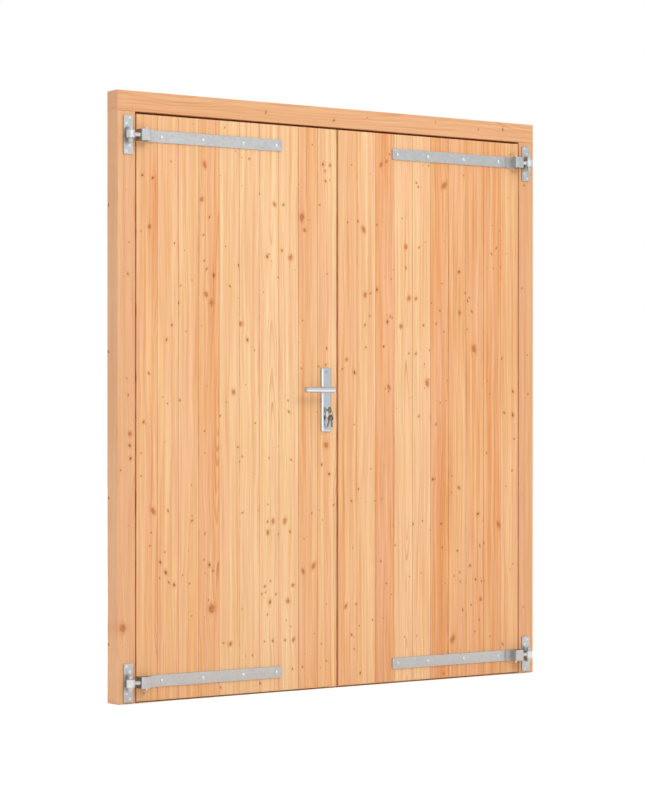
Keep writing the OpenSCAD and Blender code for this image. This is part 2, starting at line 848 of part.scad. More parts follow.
// Round bar lever with a ball elbow and a socket for the spindle
module lever() {
    at_lever() difference() {
        union() {
            translate([0, grip_y, 0]) {
                bar_x(grip_d, grip_edge - lever_l, 0);
                bar_x(grip_d - 2 * grip_edge, -lever_l, 0);
                sphere(d = grip_d);
            }
            bar_y(neck_d, grip_y, front_y);
        }
        spindle_bar(slide_play, plate_face - spindle_grip - slide_play, front_y + past);
    }
}

module outside_lever() {
    color("#d2d5d8") lever();
}

module inside_lever() {
    color("#d2d5d8") on_inside() lever();
}

// Bolts through both plates, with a round head on each face
module plate_bolts() {
    color("#c8ccce") at_plate_bolts() {
        bar_y(plate_bolt_d, plate_face, -plate_face);
        bar_y(plate_bolt_head_d, plate_face - plate_bolt_head_t, plate_face);
        on_inside() bar_y(plate_bolt_head_d, plate_face - plate_bolt_head_t, plate_face);
    }
}

module lock_cylinder() {
    color("#c9c3b0") at_cylinder() difference() {
        cylinder_profile(0, cylinder_y0, -cylinder_y0);
        bar_y(plug_d + 2 * plug_play, cylinder_y0 - past, cylinder_y0 + plug_l + plug_play);
    }
}

module cylinder_plug() {
    color("#c2a35c") at_cylinder() difference() {
        bar_y(plug_d, cylinder_y0, cylinder_y0 + plug_l);
        key_blade(slide_play, cylinder_y0 - past, cylinder_y0 + blade_in + slide_play);
    }
}

// Flat key blade along Y, grown by a clearance
module key_blade(play, y0, y1) {
    half_t = (key_t + play) / 2;
    half_h = (blade_h + play) / 2;
    block([-half_t, y0, -half_h], [half_t, y1, half_h]);
}

// Round key bow across X, with its hole towards -Y
module key_bow() {
    difference() {
        bar_x(bow_d, -key_t / 2, key_t / 2);
        translate([0, -bow_hole_off, 0]) bar_x(bow_hole_d, -key_t, key_t);
    }
}

module lock_key() {
    color("#c9ccce") at_cylinder() {
        key_blade(0, bow_y + bow_d / 2 - past, cylinder_y0 + blade_in);
        translate([0, bow_y, 0]) key_bow();
    }
}

module key_ring() {
    color("#d5d7d8") translate([lock_x, ring_y, ring_z]) rotate([90, 0, 0])
        rotate_extrude() translate([ring_d / 2, 0]) circle(d = wire_d);
}

// A spare key that hangs by its bow hole from the lowest point of the ring
module spare_key() {
    rotate([90, 0, 0]) translate([0, bow_hole_off, 0]) {
        key_bow();
        key_blade(0, bow_d / 2 - past, bow_d / 2 + blade_l);
    }
}

module spare_keys() {
    color("#c9ccce") for (i = [0, 1])
        translate([lock_x + (2 * i - 1) * spare_off, ring_y, spare_z]) rotate([0, spare_tilts[i], 0])
            mirror([0, 0, 1]) spare_key();
}

/* Strike and edge bolts, on the right leaf */

// Box of the strike plate in the leaf's edge, grown by a clearance
module strike_body(play) {
    half_w = forend_w / 2 + play;
    block([leaf_in - past * sign(play), lock_y - half_w, forend_z0 - play],
        [leaf_in + forend_t + play, lock_y + half_w, forend_z0 + forend_h + play]);
}

module strike_plate() {
    color("#c8ccce") difference() {
        strike_body(0);
        strike_pockets(slide_play);
    }
}

// Ways for the latch bolt and the dead bolt into the right leaf
module strike_pockets(play) {
    latch_end = leaf_in + latch_throw + strike_room;
    dead_bolt_end = leaf_in + dead_bolt_throw + strike_room;
    bolt_pocket(leaf_in - past, latch_end, latch_z, latch_h + 4, 1 + play);
    bolt_pocket(leaf_in - past, dead_bolt_end, dead_bolt_z, dead_bolt_h + 2, 1 + play);
}

// Upper edge bolt pieces; the lower ones are mirrored about the leaf's mid height
module at_lower_edge() {
    translate([0, 0, leaf_mid_z]) mirror([0, 0, 1]) translate([0, 0, -leaf_mid_z]) children();
}

// Box of an edge bolt's case, grown by a clearance
module edge_case_body(play) {
    block([leaf_in - past * sign(play), lock_y - edge_case_w / 2 - play, edge_case_end - edge_case_h - play],
        [leaf_in + edge_case_d + play, lock_y + edge_case_w / 2 + play, edge_case_end + play]);
}

module at_edge_bolt() {
    translate([edge_bolt_x, lock_y, leaf_z1 - past]) children();
}

module edge_bolt_case() {
    peg_z = edge_peg_up - edge_bolt_l;
    slot_w = edge_peg_d + 2 * slide_play;
    color("#a9adb0") difference() {
        edge_case_body(0);
        at_edge_bolt() {
            translate([0, 0, -leaf_h / 2])
                cylinder(d = edge_bolt_d + 2 * edge_bolt_play, h = leaf_h / 2 + past);
            translate([-edge_case_d, -slot_w / 2, peg_z - slot_w / 2])
                cube([edge_case_d, slot_w, slot_w + edge_bolt_throw]);
        }
    }
}

// Sliding bolt with a finger peg that stays under the face of the edge
module edge_bolt() {
    color("#c8ccce") at_edge_bolt() {
        translate([0, 0, -edge_bolt_l]) cylinder(d = edge_bolt_d, h = edge_bolt_l);
        translate([0, 0, edge_peg_up - edge_bolt_l]) bar_x(edge_peg_d, leaf_in + past - edge_bolt_x, 0);
    }
}

module edge_bolt_way() {
    edge_case_body(slide_play);
    at_edge_bolt() translate([0, 0, -edge_case_inset])
        cylinder(d = edge_bolt_d + 2 * hole_play, h = edge_case_inset + 2 * past);
}

module right_meeting_stile() {
    color("#d8a870") difference() {
        meeting_stile(RIGHT);
        strike_body(slide_play);
        strike_pockets(past);
        edge_bolt_way();
        at_lower_edge() edge_bolt_way();
    }
}

jamb(LEFT);  // left_jamb
jamb(RIGHT);  // right_jamb
header();
side_stop(LEFT);  // left_stop
side_stop(RIGHT);  // right_stop
head_stop();
frame_screws();
at_upper_hinge(LEFT) pin_plate();  // upper_left_pin_plate
at_lower_hinge(LEFT) pin_plate();  // lower_left_pin_plate
at_upper_hinge(RIGHT) pin_plate();  // upper_right_pin_plate
at_lower_hinge(RIGHT) pin_plate();  // lower_right_pin_plate
pin_plate_screws();
left_boards();
hinge_stile(LEFT);  // left_hinge_stile
left_lock_stile();
top_rail(LEFT);  // left_top_rail
middle_rail(LEFT);  // left_middle_rail
bottom_rail(LEFT);  // left_bottom_rail
upper_brace(LEFT);  // left_upper_brace
lower_brace(LEFT);  // left_lower_brace
at_upper_hinge(LEFT) strap();  // upper_left_strap
at_lower_hinge(LEFT) strap();  // lower_left_strap
eye_bolts(LEFT);  // left_eye_bolts
eye_nuts(LEFT);  // left_eye_nuts
cross_bolts(LEFT);  // left_cross_bolts
strap_bolts(LEFT);  // left_strap_bolts
lock_case();
lock_cylinder();
outside_plate();
inside_plate();
plate_bolts();
outside_lever();
inside_lever();
lever_spindle();
lock_follower();
latch_bolt();
dead_bolt();
cylinder_plug();
lock_key();
key_ring();
spare_keys();
right_boards();
hinge_stile(RIGHT);  // right_hinge_stile
right_meeting_stile();
top_rail(RIGHT);  // right_top_rail
middle_rail(RIGHT);  // right_middle_rail
bottom_rail(RIGHT);  // right_bottom_rail
upper_brace(RIGHT);  // right_upper_brace
lower_brace(RIGHT);  // right_lower_brace
at_upper_hinge(RIGHT) strap();  // upper_right_strap
at_lower_hinge(RIGHT) strap();  // lower_right_strap
eye_bolts(RIGHT);  // right_eye_bolts
eye_nuts(RIGHT);  // right_eye_nuts
cross_bolts(RIGHT);  // right_cross_bolts
strap_bolts(RIGHT);  // right_strap_bolts
strike_plate();
edge_bolt_case();  // upper_bolt_case
at_lower_edge() edge_bolt_case();  // lower_bolt_case
edge_bolt();  // upper_edge_bolt
at_lower_edge() edge_bolt();  // lower_edge_bolt
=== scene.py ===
# %% [markdown]
# # A pair of boarded barn doors
# The door is a softwood frame with two leaves of narrow tongued and grooved boards. Heavy galvanised straps
# carry the leaves, and a satin lever lock closes them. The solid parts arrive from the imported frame, and
# this lesson gives them their timber, their zinc and their light.

import json
import math
import random

import bpy
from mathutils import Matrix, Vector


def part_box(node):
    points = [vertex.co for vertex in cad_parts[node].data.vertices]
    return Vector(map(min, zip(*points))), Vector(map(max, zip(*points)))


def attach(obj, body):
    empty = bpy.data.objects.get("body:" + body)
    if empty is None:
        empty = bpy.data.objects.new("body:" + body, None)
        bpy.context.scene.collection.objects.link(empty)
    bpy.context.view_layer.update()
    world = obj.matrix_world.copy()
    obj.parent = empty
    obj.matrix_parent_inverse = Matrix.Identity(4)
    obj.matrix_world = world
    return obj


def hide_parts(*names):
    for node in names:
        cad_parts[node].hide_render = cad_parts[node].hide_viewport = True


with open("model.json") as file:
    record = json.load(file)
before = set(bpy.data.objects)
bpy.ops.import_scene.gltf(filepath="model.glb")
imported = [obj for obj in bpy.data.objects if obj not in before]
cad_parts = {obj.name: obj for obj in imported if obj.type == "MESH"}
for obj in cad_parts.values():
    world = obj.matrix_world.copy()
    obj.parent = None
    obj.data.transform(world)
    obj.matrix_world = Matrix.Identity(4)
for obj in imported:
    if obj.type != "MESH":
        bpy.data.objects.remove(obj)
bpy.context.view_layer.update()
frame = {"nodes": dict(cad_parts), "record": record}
nodes = frame["nodes"]
print("nodes loaded:", len(nodes))

# %% [markdown]
# ## Tools for materials
# Colours are written as they look on a screen and turned into the linear values that light works with. The scale
# of a pattern says how often it repeats in a metre, so it is worked out from a real size in millimetres. One
# function adds a shader node, sets its values and links its inputs, and hands back one of its outputs.

# %% Tools for materials
MM = 0.001
MATH, VECTOR, NOISE = "ShaderNodeMath", "ShaderNodeVectorMath", "ShaderNodeTexNoise"
SPLIT, GATHER = "ShaderNodeSeparateXYZ", "ShaderNodeCombineXYZ"
MIX, RAMP = "ShaderNodeMix", "ShaderNodeValToRGB"


def per(size_mm):
    return 1.0 / (size_mm * MM)


def linear(hex_colour):
    parts = [int(hex_colour[i : i + 2], 16) / 255 for i in (1, 3, 5)]
    return (*[c / 12.92 if c <= 0.04045 else ((c + 0.055) / 1.055) ** 2.4 for c in parts], 1.0)


def add(tree, kind, inputs=None, out=0, **settings):
    made = tree.nodes.new(kind)
    for key, value in settings.items():
        setattr(made, key, value)
    for key, value in (inputs or {}).items():
        if isinstance(value, bpy.types.NodeSocket):
            tree.links.new(value, made.inputs[key])
        else:
            made.inputs[key].default_value = value
    return made.outputs[out] if made.outputs else None


def set_ramp(socket, stops):
    ramp = socket.node.color_ramp
    while len(ramp.elements) < len(stops):
        ramp.elements.new(0.5)
    for element, (place, colour) in zip(ramp.elements, stops):
        element.position = place
        element.color = colour


def new_material(name):
    material = bpy.data.materials.new(name)
    material.use_nodes = True
    material.node_tree.nodes.clear()
    return material, material.node_tree


print("material tools ready")

# %% [markdown]
# ## Tools for pieces
# An operator acts on all that is selected, and the loaded parts arrive selected, so one tool clears the selection
# and another picks what comes next. A cutter takes its shape out of a piece, as a drill or a saw does.


# %% Tools for pieces
def deselect():
    bpy.ops.object.select_all(action="DESELECT")


def pick(*objects):
    deselect()
    for item in objects:
        item.select_set(True)
    bpy.context.view_layer.objects.active = objects[0]


def start_piece(name):
    piece = bpy.context.active_object
    piece.name = name
    piece.data.name = name
    return piece


def settle():
    bpy.ops.object.transform_apply(location=True, rotation=True, scale=True)


def close_up():
    bpy.ops.mesh.select_all(action="SELECT")
    bpy.ops.mesh.normals_make_consistent(inside=False)
    bpy.ops.object.mode_set(mode="OBJECT")


def join_as(name, objects):
    pick(*objects)
    bpy.ops.object.join()
    return start_piece(name)


def cut_away(piece, cutter):
    pick(piece)
    cut = piece.modifiers.new("cut", "BOOLEAN")
    cut.operation = "DIFFERENCE"
    cut.object = cutter
    bpy.ops.object.modifier_apply(modifier=cut.name)
    bpy.data.objects.remove(cutter, do_unlink=True)


deselect()
print("piece tools ready")

# %% [markdown]
# ## Grain round a knot
# A branch grows out through the trunk, and the fibres flow round it like water round a post. Such lines could be
# painted one by one. Here the place across the board is pushed aside near a knot instead, and all patterns that
# read the pushed place then part round the knot and close again above and below it.

# %% Grain round a knot
KNOT_PULL = 0.42  # how quickly the push dies away along the grain, next to 1 across it
KNOT_HEART = 0.7  # keeps the push small in the very middle of a knot
KNOT_FADE = 0.04  # ends the push before the ground of the next knot
KNOT_PUSH = -1.5  # push in knot radii


def part_round_knot(tree, across, from_knot, knot_size):
    over, along = from_knot[0], from_knot[1]
    over2 = add(tree, MATH, {0: over, 1: over}, operation="MULTIPLY")
    drawn = add(tree, MATH, {0: along, 1: KNOT_PULL}, operation="MULTIPLY")
    reach = add(tree, MATH, {0: drawn, 1: drawn, 2: over2}, operation="MULTIPLY_ADD")
    reach = add(tree, MATH, {0: from_knot[2], 1: from_knot[2], 2: reach}, operation="MULTIPLY_ADD")
    reach = add(tree, MATH, {0: reach, 1: KNOT_HEART}, operation="ADD")
    push = add(tree, MATH, {0: over, 1: knot_size}, operation="MULTIPLY")
    push = add(tree, MATH, {0: push, 1: reach}, operation="DIVIDE")
    fade = add(tree, MATH, {0: reach, 1: KNOT_FADE}, operation="MULTIPLY")
    fade = add(tree, MATH, {0: fade, 1: fade, 2: 1.0}, operation="MULTIPLY_ADD")
    push = add(tree, MATH, {0: push, 1: fade}, operation="DIVIDE")
    return add(tree, MATH, {0: push, 1: KNOT_PUSH, 2: across}, operation="MULTIPLY_ADD")


print("grain parts round knots, push in radii:", KNOT_PUSH)

# %% [markdown]
# ## Distance to the pith
# A growth ring is a tube round the pith, the middle of the tree. A flat picture of lines would look printed on,
# so the rings are worked out in depth: a board cut far from the pith shows straight fine lines, and one cut near
# it shows flames. No tree is straight, so the pith line sways along the length and the rings ripple.

# %% Distance to the pith
SWAY_LENGTH, SWAY_SIDE, SWAY_DEPTH = 625.0, 30, 45  # mm along the stick, and mm to the side and in depth
RIPPLE_WIDTH, RIPPLE_LENGTH, RIPPLE_SIDE = 45.0, 165.0, 13  # mm
SECOND_SWAY = 37.0  # sets the sway in depth apart from the sway to the side


def pith_distance(tree, across, grain, pith, seed):
    where = add(tree, MATH, {0: grain[2], 1: per(SWAY_LENGTH), 2: seed}, operation="MULTIPLY_ADD")
    sway = add(tree, NOISE, {"W": where, "Scale": 1.0, "Detail": 1.5}, noise_dimensions="1D")
    side = add(tree, MATH, {0: sway, 1: SWAY_SIDE * MM, 2: across}, operation="MULTIPLY_ADD")
    side = add(tree, MATH, {0: side, 1: pith[0]}, operation="SUBTRACT")
    ripple = add(tree, GATHER, {0: across, 1: seed, 2: grain[2]})
    ripple_scale = (per(RIPPLE_WIDTH), 1.0, per(RIPPLE_LENGTH))
    ripple = add(tree, VECTOR, {0: ripple, 1: ripple_scale}, operation="MULTIPLY")
    ripple = add(tree, NOISE, {"Vector": ripple, "Scale": 1.0, "Detail": 2.0})
    side = add(tree, MATH, {0: ripple, 1: RIPPLE_SIDE * MM, 2: side}, operation="MULTIPLY_ADD")
    where = add(tree, MATH, {0: where, 1: SECOND_SWAY}, operation="ADD")
    sway = add(tree, NOISE, {"W": where, "Scale": 0.8, "Detail": 1.0}, noise_dimensions="1D")
    depth = add(tree, MATH, {0: sway, 1: SWAY_DEPTH * MM, 2: grain[1]}, operation="MULTIPLY_ADD")
    depth = add(tree, MATH, {0: depth, 1: pith[1]}, operation="SUBTRACT")
    side2 = add(tree, MATH, {0: side, 1: side}, operation="MULTIPLY")
    radius = add(tree, MATH, {0: depth, 1: depth, 2: side2}, operation="MULTIPLY_ADD")
    return add(tree, MATH, {0: radius}, operation="SQRT")


print("pith sways over", SWAY_LENGTH, "mm")

# %% [markdown]
# ## Late wood
# Each year the tree lays down pale early wood that darkens into a thin line of late wood and then stops short.
# Rings are uneven in width. Some years leave a strong line and others hardly any, and a line fades in and out
# along its length, which keeps the boards from looking ruled.

# %% Late wood
UNEVEN_MM, UNEVEN_RINGS = 14.0, 2.6  # ring widths change over this depth, by this many rings
YEAR_DEPTH, YEAR_LENGTH = 6.6, 450.0  # mm over which a year's strength changes
LATE_STOPS = ((0.0, 0.12), (0.45, 0.18), (0.84, 0.9), (0.94, 1.0), (1.0, 0.12))


def late_wood(tree, radius, ring_width, along, seed):
    loose = add(tree, GATHER, {0: radius, 1: seed, 2: 0.0})
    uneven = add(tree, NOISE, {"Vector": loose, "Scale": per(UNEVEN_MM), "Detail": 2.0})
    rings = add(tree, MATH, {0: radius, 1: ring_width}, operation="DIVIDE")
    rings = add(tree, MATH, {0: uneven, 1: UNEVEN_RINGS, 2: rings}, operation="MULTIPLY_ADD")
    rings = add(tree, MATH, {0: rings}, operation="FRACT")
    late = add(tree, RAMP, {0: rings})
    set_ramp(late, [(place, (grey, grey, grey, 1.0)) for place, grey in LATE_STOPS])
    year = add(tree, GATHER, {0: radius, 1: seed, 2: along})
    year_scale = (per(YEAR_DEPTH), 1.0, per(YEAR_LENGTH))
    year = add(tree, VECTOR, {0: year, 1: year_scale}, operation="MULTIPLY")
    year = add(tree, NOISE, {"Vector": year, "Scale": 1.0, "Detail": 2.0})
    year = add(tree, "ShaderNodeMapRange", {0: year, 1: 0.36, 2: 0.66, 3: 0.12, 4: 0.9})
    return add(tree, MATH, {0: late, 1: year}, operation="MULTIPLY")


print("late wood ready, stops:", len(LATE_STOPS))

# %% [markdown]
# ## Colour of a knot
# A pin knot is the trace of a twig, a small dark spot. A live knot is a larger branch, red-brown with a darker rim
# and a warm halo. Both fade into the board by a ramp over the distance in knot radii, with a ragged edge.

# %% Colour of a knot
RAGGED_MM = 3.0  # size of the tatters at the edge of a knot
RAGGED_RADII, RAGGED_BACK = 1.8, -0.8  # how far the edge is torn, and the shift that keeps its middle
RAMP_RADII = 0.25  # a ramp from 0 to 1 covers four radii
PIN_STOPS = (
    (0.0, "#66300f", 1.0),
    (0.18, "#804018", 0.9),
    (0.28, "#ad6029", 0.5),
    (0.5, "#c9803f", 0.26),
    (0.95, "#da9a58", 0.0),
)
LIVE_STOPS = (
    (0.0, "#a84e18", 0.85),
    (0.13, "#c06426", 0.7),
    (0.23, "#9a4415", 0.72),
    (0.31, "#c86f30", 0.4),
    (0.68, "#dc9350", 0.0),
)


def knot_colour(tree, wood, grain_place, spot_place, away):
    ragged = add(tree, NOISE, {"Vector": grain_place, "Scale": per(RAGGED_MM), "Detail": 3.0})
    spot = add(tree, SPLIT, {0: spot_place}).node.outputs
    far = add(tree, GATHER, {0: spot[0], 1: spot[1], 2: away})
    far = add(tree, VECTOR, {0: far}, out=1, operation="LENGTH")
    far = add(tree, MATH, {0: ragged, 1: RAGGED_RADII, 2: far}, operation="MULTIPLY_ADD")
    far = add(tree, MATH, {0: far, 1: RAGGED_BACK}, operation="ADD")
    far = add(tree, MATH, {0: far, 1: RAMP_RADII}, operation="MULTIPLY")
    kinds = []
    for stops in (PIN_STOPS, LIVE_STOPS):
        ramp = add(tree, RAMP, {0: far})
        set_ramp(ramp, [(place, (*linear(colour)[:3], share)) for place, colour, share in stops])
        kinds.append(ramp.node.outputs)
    pin, live = kinds
    colour = add(tree, MIX, {0: spot[2], 6: pin[0], 7: live[0]}, out=2, data_type="RGBA")
    share = add(tree, MIX, {0: spot[2], 2: pin[1], 3: live[1]}, data_type="FLOAT")
    return add(tree, MIX, {0: share, 6: wood, 7: colour}, out=2, data_type="RGBA")


print("knots ready")

# %% [markdown]
# ## Softwood
# Planed fir is pale early wood crossed by darker rings, with fine fibres, warm streaks and patches that blush.
# Every piece stores its own pith, tone and knots with its points, and one recipe reads them, so that no two
# boards are alike. An oil finish leaves a soft sheen, and the late wood stands up a little under the light.

# %% Softwood
FIBRE_WIDTH, FIBRE_LENGTH = 1.1, 70.0  # mm, bundles: single fibres are far too fine to show
STREAK_WIDTH, STREAK_LENGTH = 13.0, 1100.0  # mm
BLUSH_STRETCH = (0.35, 1.7, 1.0)  # blushes are about three streaks wide and more than half as long
RELIEF_MM = 0.3


def softwood(name, pale, pale_ring, deep, deep_ring, blush, rough):
    material, tree = new_material(name)
    grain_place = add(tree, "ShaderNodeAttribute", out=1, attribute_name="grain")
    pith_place = add(tree, "ShaderNodeAttribute", out=1, attribute_name="pith")
    knot_place = add(tree, "ShaderNodeAttribute", out=1, attribute_name="knot")
    knot_size = add(tree, "ShaderNodeAttribute", out=2, attribute_name="knot_size")
    spot_place = add(tree, "ShaderNodeAttribute", out=1, attribute_name="spot")
    tone = add(tree, "ShaderNodeAttribute", out=2, attribute_name="tone")
    seed = add(tree, "ShaderNodeAttribute", out=2, attribute_name="seed")
    grain = add(tree, SPLIT, {0: grain_place}).node.outputs
    pith = add(tree, SPLIT, {0: pith_place}).node.outputs
    from_knot = add(tree, SPLIT, {0: knot_place}).node.outputs

    across = part_round_knot(tree, grain[0], from_knot, knot_size)
    radius = pith_distance(tree, across, grain, pith, seed)
    late = late_wood(tree, radius, pith[2], grain[2], seed)

    # fibres and long streaks along the grain
    fibre = add(tree, GATHER, {0: across, 1: grain[1], 2: grain[2]})
    fibre_scale = (per(FIBRE_WIDTH), per(FIBRE_WIDTH), per(FIBRE_LENGTH))
    fibre = add(tree, VECTOR, {0: fibre, 1: fibre_scale}, operation="MULTIPLY")
    fibre = add(tree, NOISE, {"Vector": fibre, "Scale": 1.0, "Detail": 3.0})
    lengthwise = add(tree, MATH, {0: grain[2], 1: per(STREAK_LENGTH), 2: seed}, operation="MULTIPLY_ADD")
    band = add(tree, MATH, {0: across, 1: per(STREAK_WIDTH)}, operation="MULTIPLY")
    streaks = add(tree, GATHER, {0: band, 1: lengthwise, 2: seed})
    streak = add(tree, NOISE, {"Vector": streaks, "Scale": 1.0, "Detail": 6.0, "Roughness": 0.68})
    flush = add(tree, VECTOR, {0: streaks, 1: BLUSH_STRETCH}, operation="MULTIPLY")
    flush = add(tree, NOISE, {"Vector": flush, "Scale": 1.0, "Detail": 2.0})
    flush = add(tree, "ShaderNodeMapRange", {0: flush, 1: 0.43, 2: 0.67, 3: 0.0, 4: 0.65})

    # the tone of the board and its streaks choose between pale and deep, and the rings lie over that
    own = add(tree, MATH, {0: streak, 1: 2.3, 2: -1.15}, operation="MULTIPLY_ADD")
    own = add(tree, MATH, {0: own, 1: tone}, operation="ADD", use_clamp=True)
    early = add(tree, MIX, {0: own, 6: linear(pale), 7: linear(deep)}, out=2, data_type="RGBA")
    dark = add(tree, MIX, {0: own, 6: linear(pale_ring), 7: linear(deep_ring)}, out=2, data_type="RGBA")
    early = add(tree, MIX, {0: flush, 6: early, 7: linear(blush)}, out=2, data_type="RGBA")
    ring_share = add(tree, MATH, {0: fibre, 1: 1.2, 2: 0.35}, operation="MULTIPLY_ADD")
    ring_share = add(tree, MATH, {0: ring_share, 1: late}, operation="MULTIPLY", use_clamp=True)
    wood = add(tree, MIX, {0: ring_share, 6: early, 7: dark}, out=2, data_type="RGBA")
    shade = add(tree, MATH, {0: fibre, 1: 0.22, 2: 0.89}, operation="MULTIPLY_ADD")
    wood = add(tree, VECTOR, {0: wood, 1: shade}, operation="MULTIPLY")
    wood = knot_colour(tree, wood, grain_place, spot_place, from_knot[2])

    # a soft sheen and the faint relief of the grain
    relief = add(tree, MATH, {0: fibre, 1: 0.5, 2: late}, operation="MULTIPLY_ADD")
    bump = add(tree, "ShaderNodeBump", {"Height": relief, "Strength": 0.25, "Distance": RELIEF_MM * MM})
    finish = {"Base Color": wood, "Roughness": rough, "Specular IOR Level": 0.35, "Normal": bump}
    surface = add(tree, "ShaderNodeBsdfPrincipled", finish)
    add(tree, "ShaderNodeOutputMaterial", {0: surface})
    return material


# planed and oiled boards: honey yellow to orange under fine brown lines, with a soft sheen
door_wood = softwood("oiled fir boards", "#f8d7a5", "#d8995b", "#e9a163", "#b65e2c", "#f3bd94", 0.5)
# planed and oiled posts: an even, rosier tone with quiet lines
frame_wood = softwood("oiled fir frame", "#ebbb8c", "#db9d6a", "#dc9a67", "#c47c4a", "#e8ad84", 0.52)
# planed ledges without oil: paler, yellower and more matt than the front
ledge_wood = softwood("plain fir ledges", "#f2cf9f", "#d9a064", "#e5aa70", "#bb7a45", "#eebb90", 0.6)
print("wood:", door_wood.name, frame_wood.name, ledge_wood.name)

# %% [markdown]
# ## Metals
# Hot-dip zinc freezes into flakes, and every flake has its own grey. Plated screws are smoother and brighter.
# The lever and its plate are brushed, so fine lines run along them. Keys are handled until the nickel goes dull
# in patches. One recipe has all three: flakes, cloudy wear and brush lines, each with its share and its size.

# %% Metals
BRUSH_RELIEF_MM = 0.1
NO_FLAKES = (0.0, 8)


def metal(name, colour, rough, flake, wear, brush):
    flake_share, flake_mm = flake
    wear_share, wear_mm = wear
    brush_share, *brush_mm = brush
    material, tree = new_material(name)
    place = add(tree, "ShaderNodeTexCoord", out=3)
    cells = add(tree, "ShaderNodeTexVoronoi", {"Vector": place, "Scale": per(flake_mm)}, out=1)
    grey = add(tree, "ShaderNodeSeparateColor", {0: cells})
    cloud = add(tree, NOISE, {"Vector": place, "Scale": per(wear_mm), "Detail": 4.0})
    lines = add(tree, VECTOR, {0: place, 1: [per(size) for size in brush_mm]}, operation="MULTIPLY")
    brushed = add(tree, NOISE, {"Vector": lines, "Scale": 1.0, "Detail": 2.0})

    # the three patterns lighten and darken the metal about its own colour
    plain = 1.0 - 0.35 * flake_share - 0.5 * wear_share - 0.5 * brush_share
    change = add(tree, MATH, {0: grey, 1: flake_share, 2: plain}, operation="MULTIPLY_ADD")
    change = add(tree, MATH, {0: cloud, 1: wear_share, 2: change}, operation="MULTIPLY_ADD")
    change = add(tree, MATH, {0: brushed, 1: brush_share, 2: change}, operation="MULTIPLY_ADD")
    tint = add(tree, VECTOR, {0: linear(colour)[:3], 1: change}, operation="MULTIPLY")

    # flakes and brush lines also change the gloss, and the brush lines stand up a little
    gloss = rough - 0.2 * flake_share
    gloss = add(tree, MATH, {0: grey, 1: 0.5 * flake_share, 2: gloss}, operation="MULTIPLY_ADD")
    gloss = add(tree, MATH, {0: brushed, 1: 0.1, 2: gloss}, operation="MULTIPLY_ADD")
    bump = add(tree, "ShaderNodeBump", {"Height": brushed, "Strength": 0.15, "Distance": BRUSH_RELIEF_MM * MM})
    finish = {"Base Color": tint, "Metallic": 1.0, "Roughness": gloss, "Normal": bump}
    surface = add(tree, "ShaderNodeBsdfPrincipled", finish)
    add(tree, "ShaderNodeOutputMaterial", {0: surface})
    return material


# flake and wear are a share and a size in mm, and brush is a share and its sizes along x, y and z in mm
# real brush and turning lines are about 0.1 mm wide, and are drawn a few times as coarse so that they show
# dipped zinc: a dull pale grey with 8 mm flakes that turn lighter and darker
galvanised = metal("hot-dip galvanised steel", "#b0b1b1", 0.4, (0.12, 8), (0.08, 40), (0.03, 6, 6, 6))
# dipped and spun bolts: the grey of the straps, painted a little lighter as a painted highlight on the bolts and
# threads
bolt_zinc_painted_lighter = metal("galvanised bolts", "#c2c4c4", 0.34, (0.12, 8), (0.06, 40), (0.03, 6, 6, 6))
# electroplated screws: small, bright and nearly white
zinc = metal("zinc plated fasteners", "#cfd2d3", 0.28, (0.08, 3.3), (0.04, 40), (0.03, 2, 2, 2))
# brushed plate: a cool grey with upright lines that soften what it mirrors
satin = metal("satin steel", "#b4bbc0", 0.2, NO_FLAKES, (0.04, 40), (0.07, 0.33, 0.33, 17))
# polished bar: lines along the bar and a clear streak of light on top
polished = metal("polished steel lever", "#c2c8cd", 0.18, NO_FLAKES, (0.03, 30), (0.05, 17, 0.33, 0.33))
# rolled lock steel: a plain darker grey with faint rolling lines
lock_steel = metal("plain lock steel", "#a8abae", 0.35, (0.05, 5), (0.06, 20), (0.05, 0.5, 0.5, 10))
# turned brass: yellow with soft turning lines
brass = metal("turned brass", "#d9b96a", 0.28, NO_FLAKES, (0.1, 8), (0.06, 0.5, 4, 0.5))
# nickel on the cylinder: a warm pale grey, smooth
nickel = metal("nickel plate", "#cfccc4", 0.3, NO_FLAKES, (0.08, 6), (0.06, 0.4, 0.4, 4))
# handled keys: dark warm grey, dull in 5 mm patches
worn_nickel = metal("worn nickel keys", "#8d8b86", 0.34, NO_FLAKES, (0.3, 5), (0.12, 0.4, 0.4, 4))
print("metals ready")

# %% [markdown]
# ## Finishes by slot
# Every solid part has a material slot in the record, so the finish follows the slot, and a few parts then get a
# finish of their own. Plain ledges, braces and stops get a small bevel, because no planed edge is perfectly sharp.
# The faces of a loaded part are not joined, so a weld comes before the bevel, and flat shading keeps them true.
# A bevel would tear the thin faces round a bored hole, so the sticks with holes keep the edges that they have.

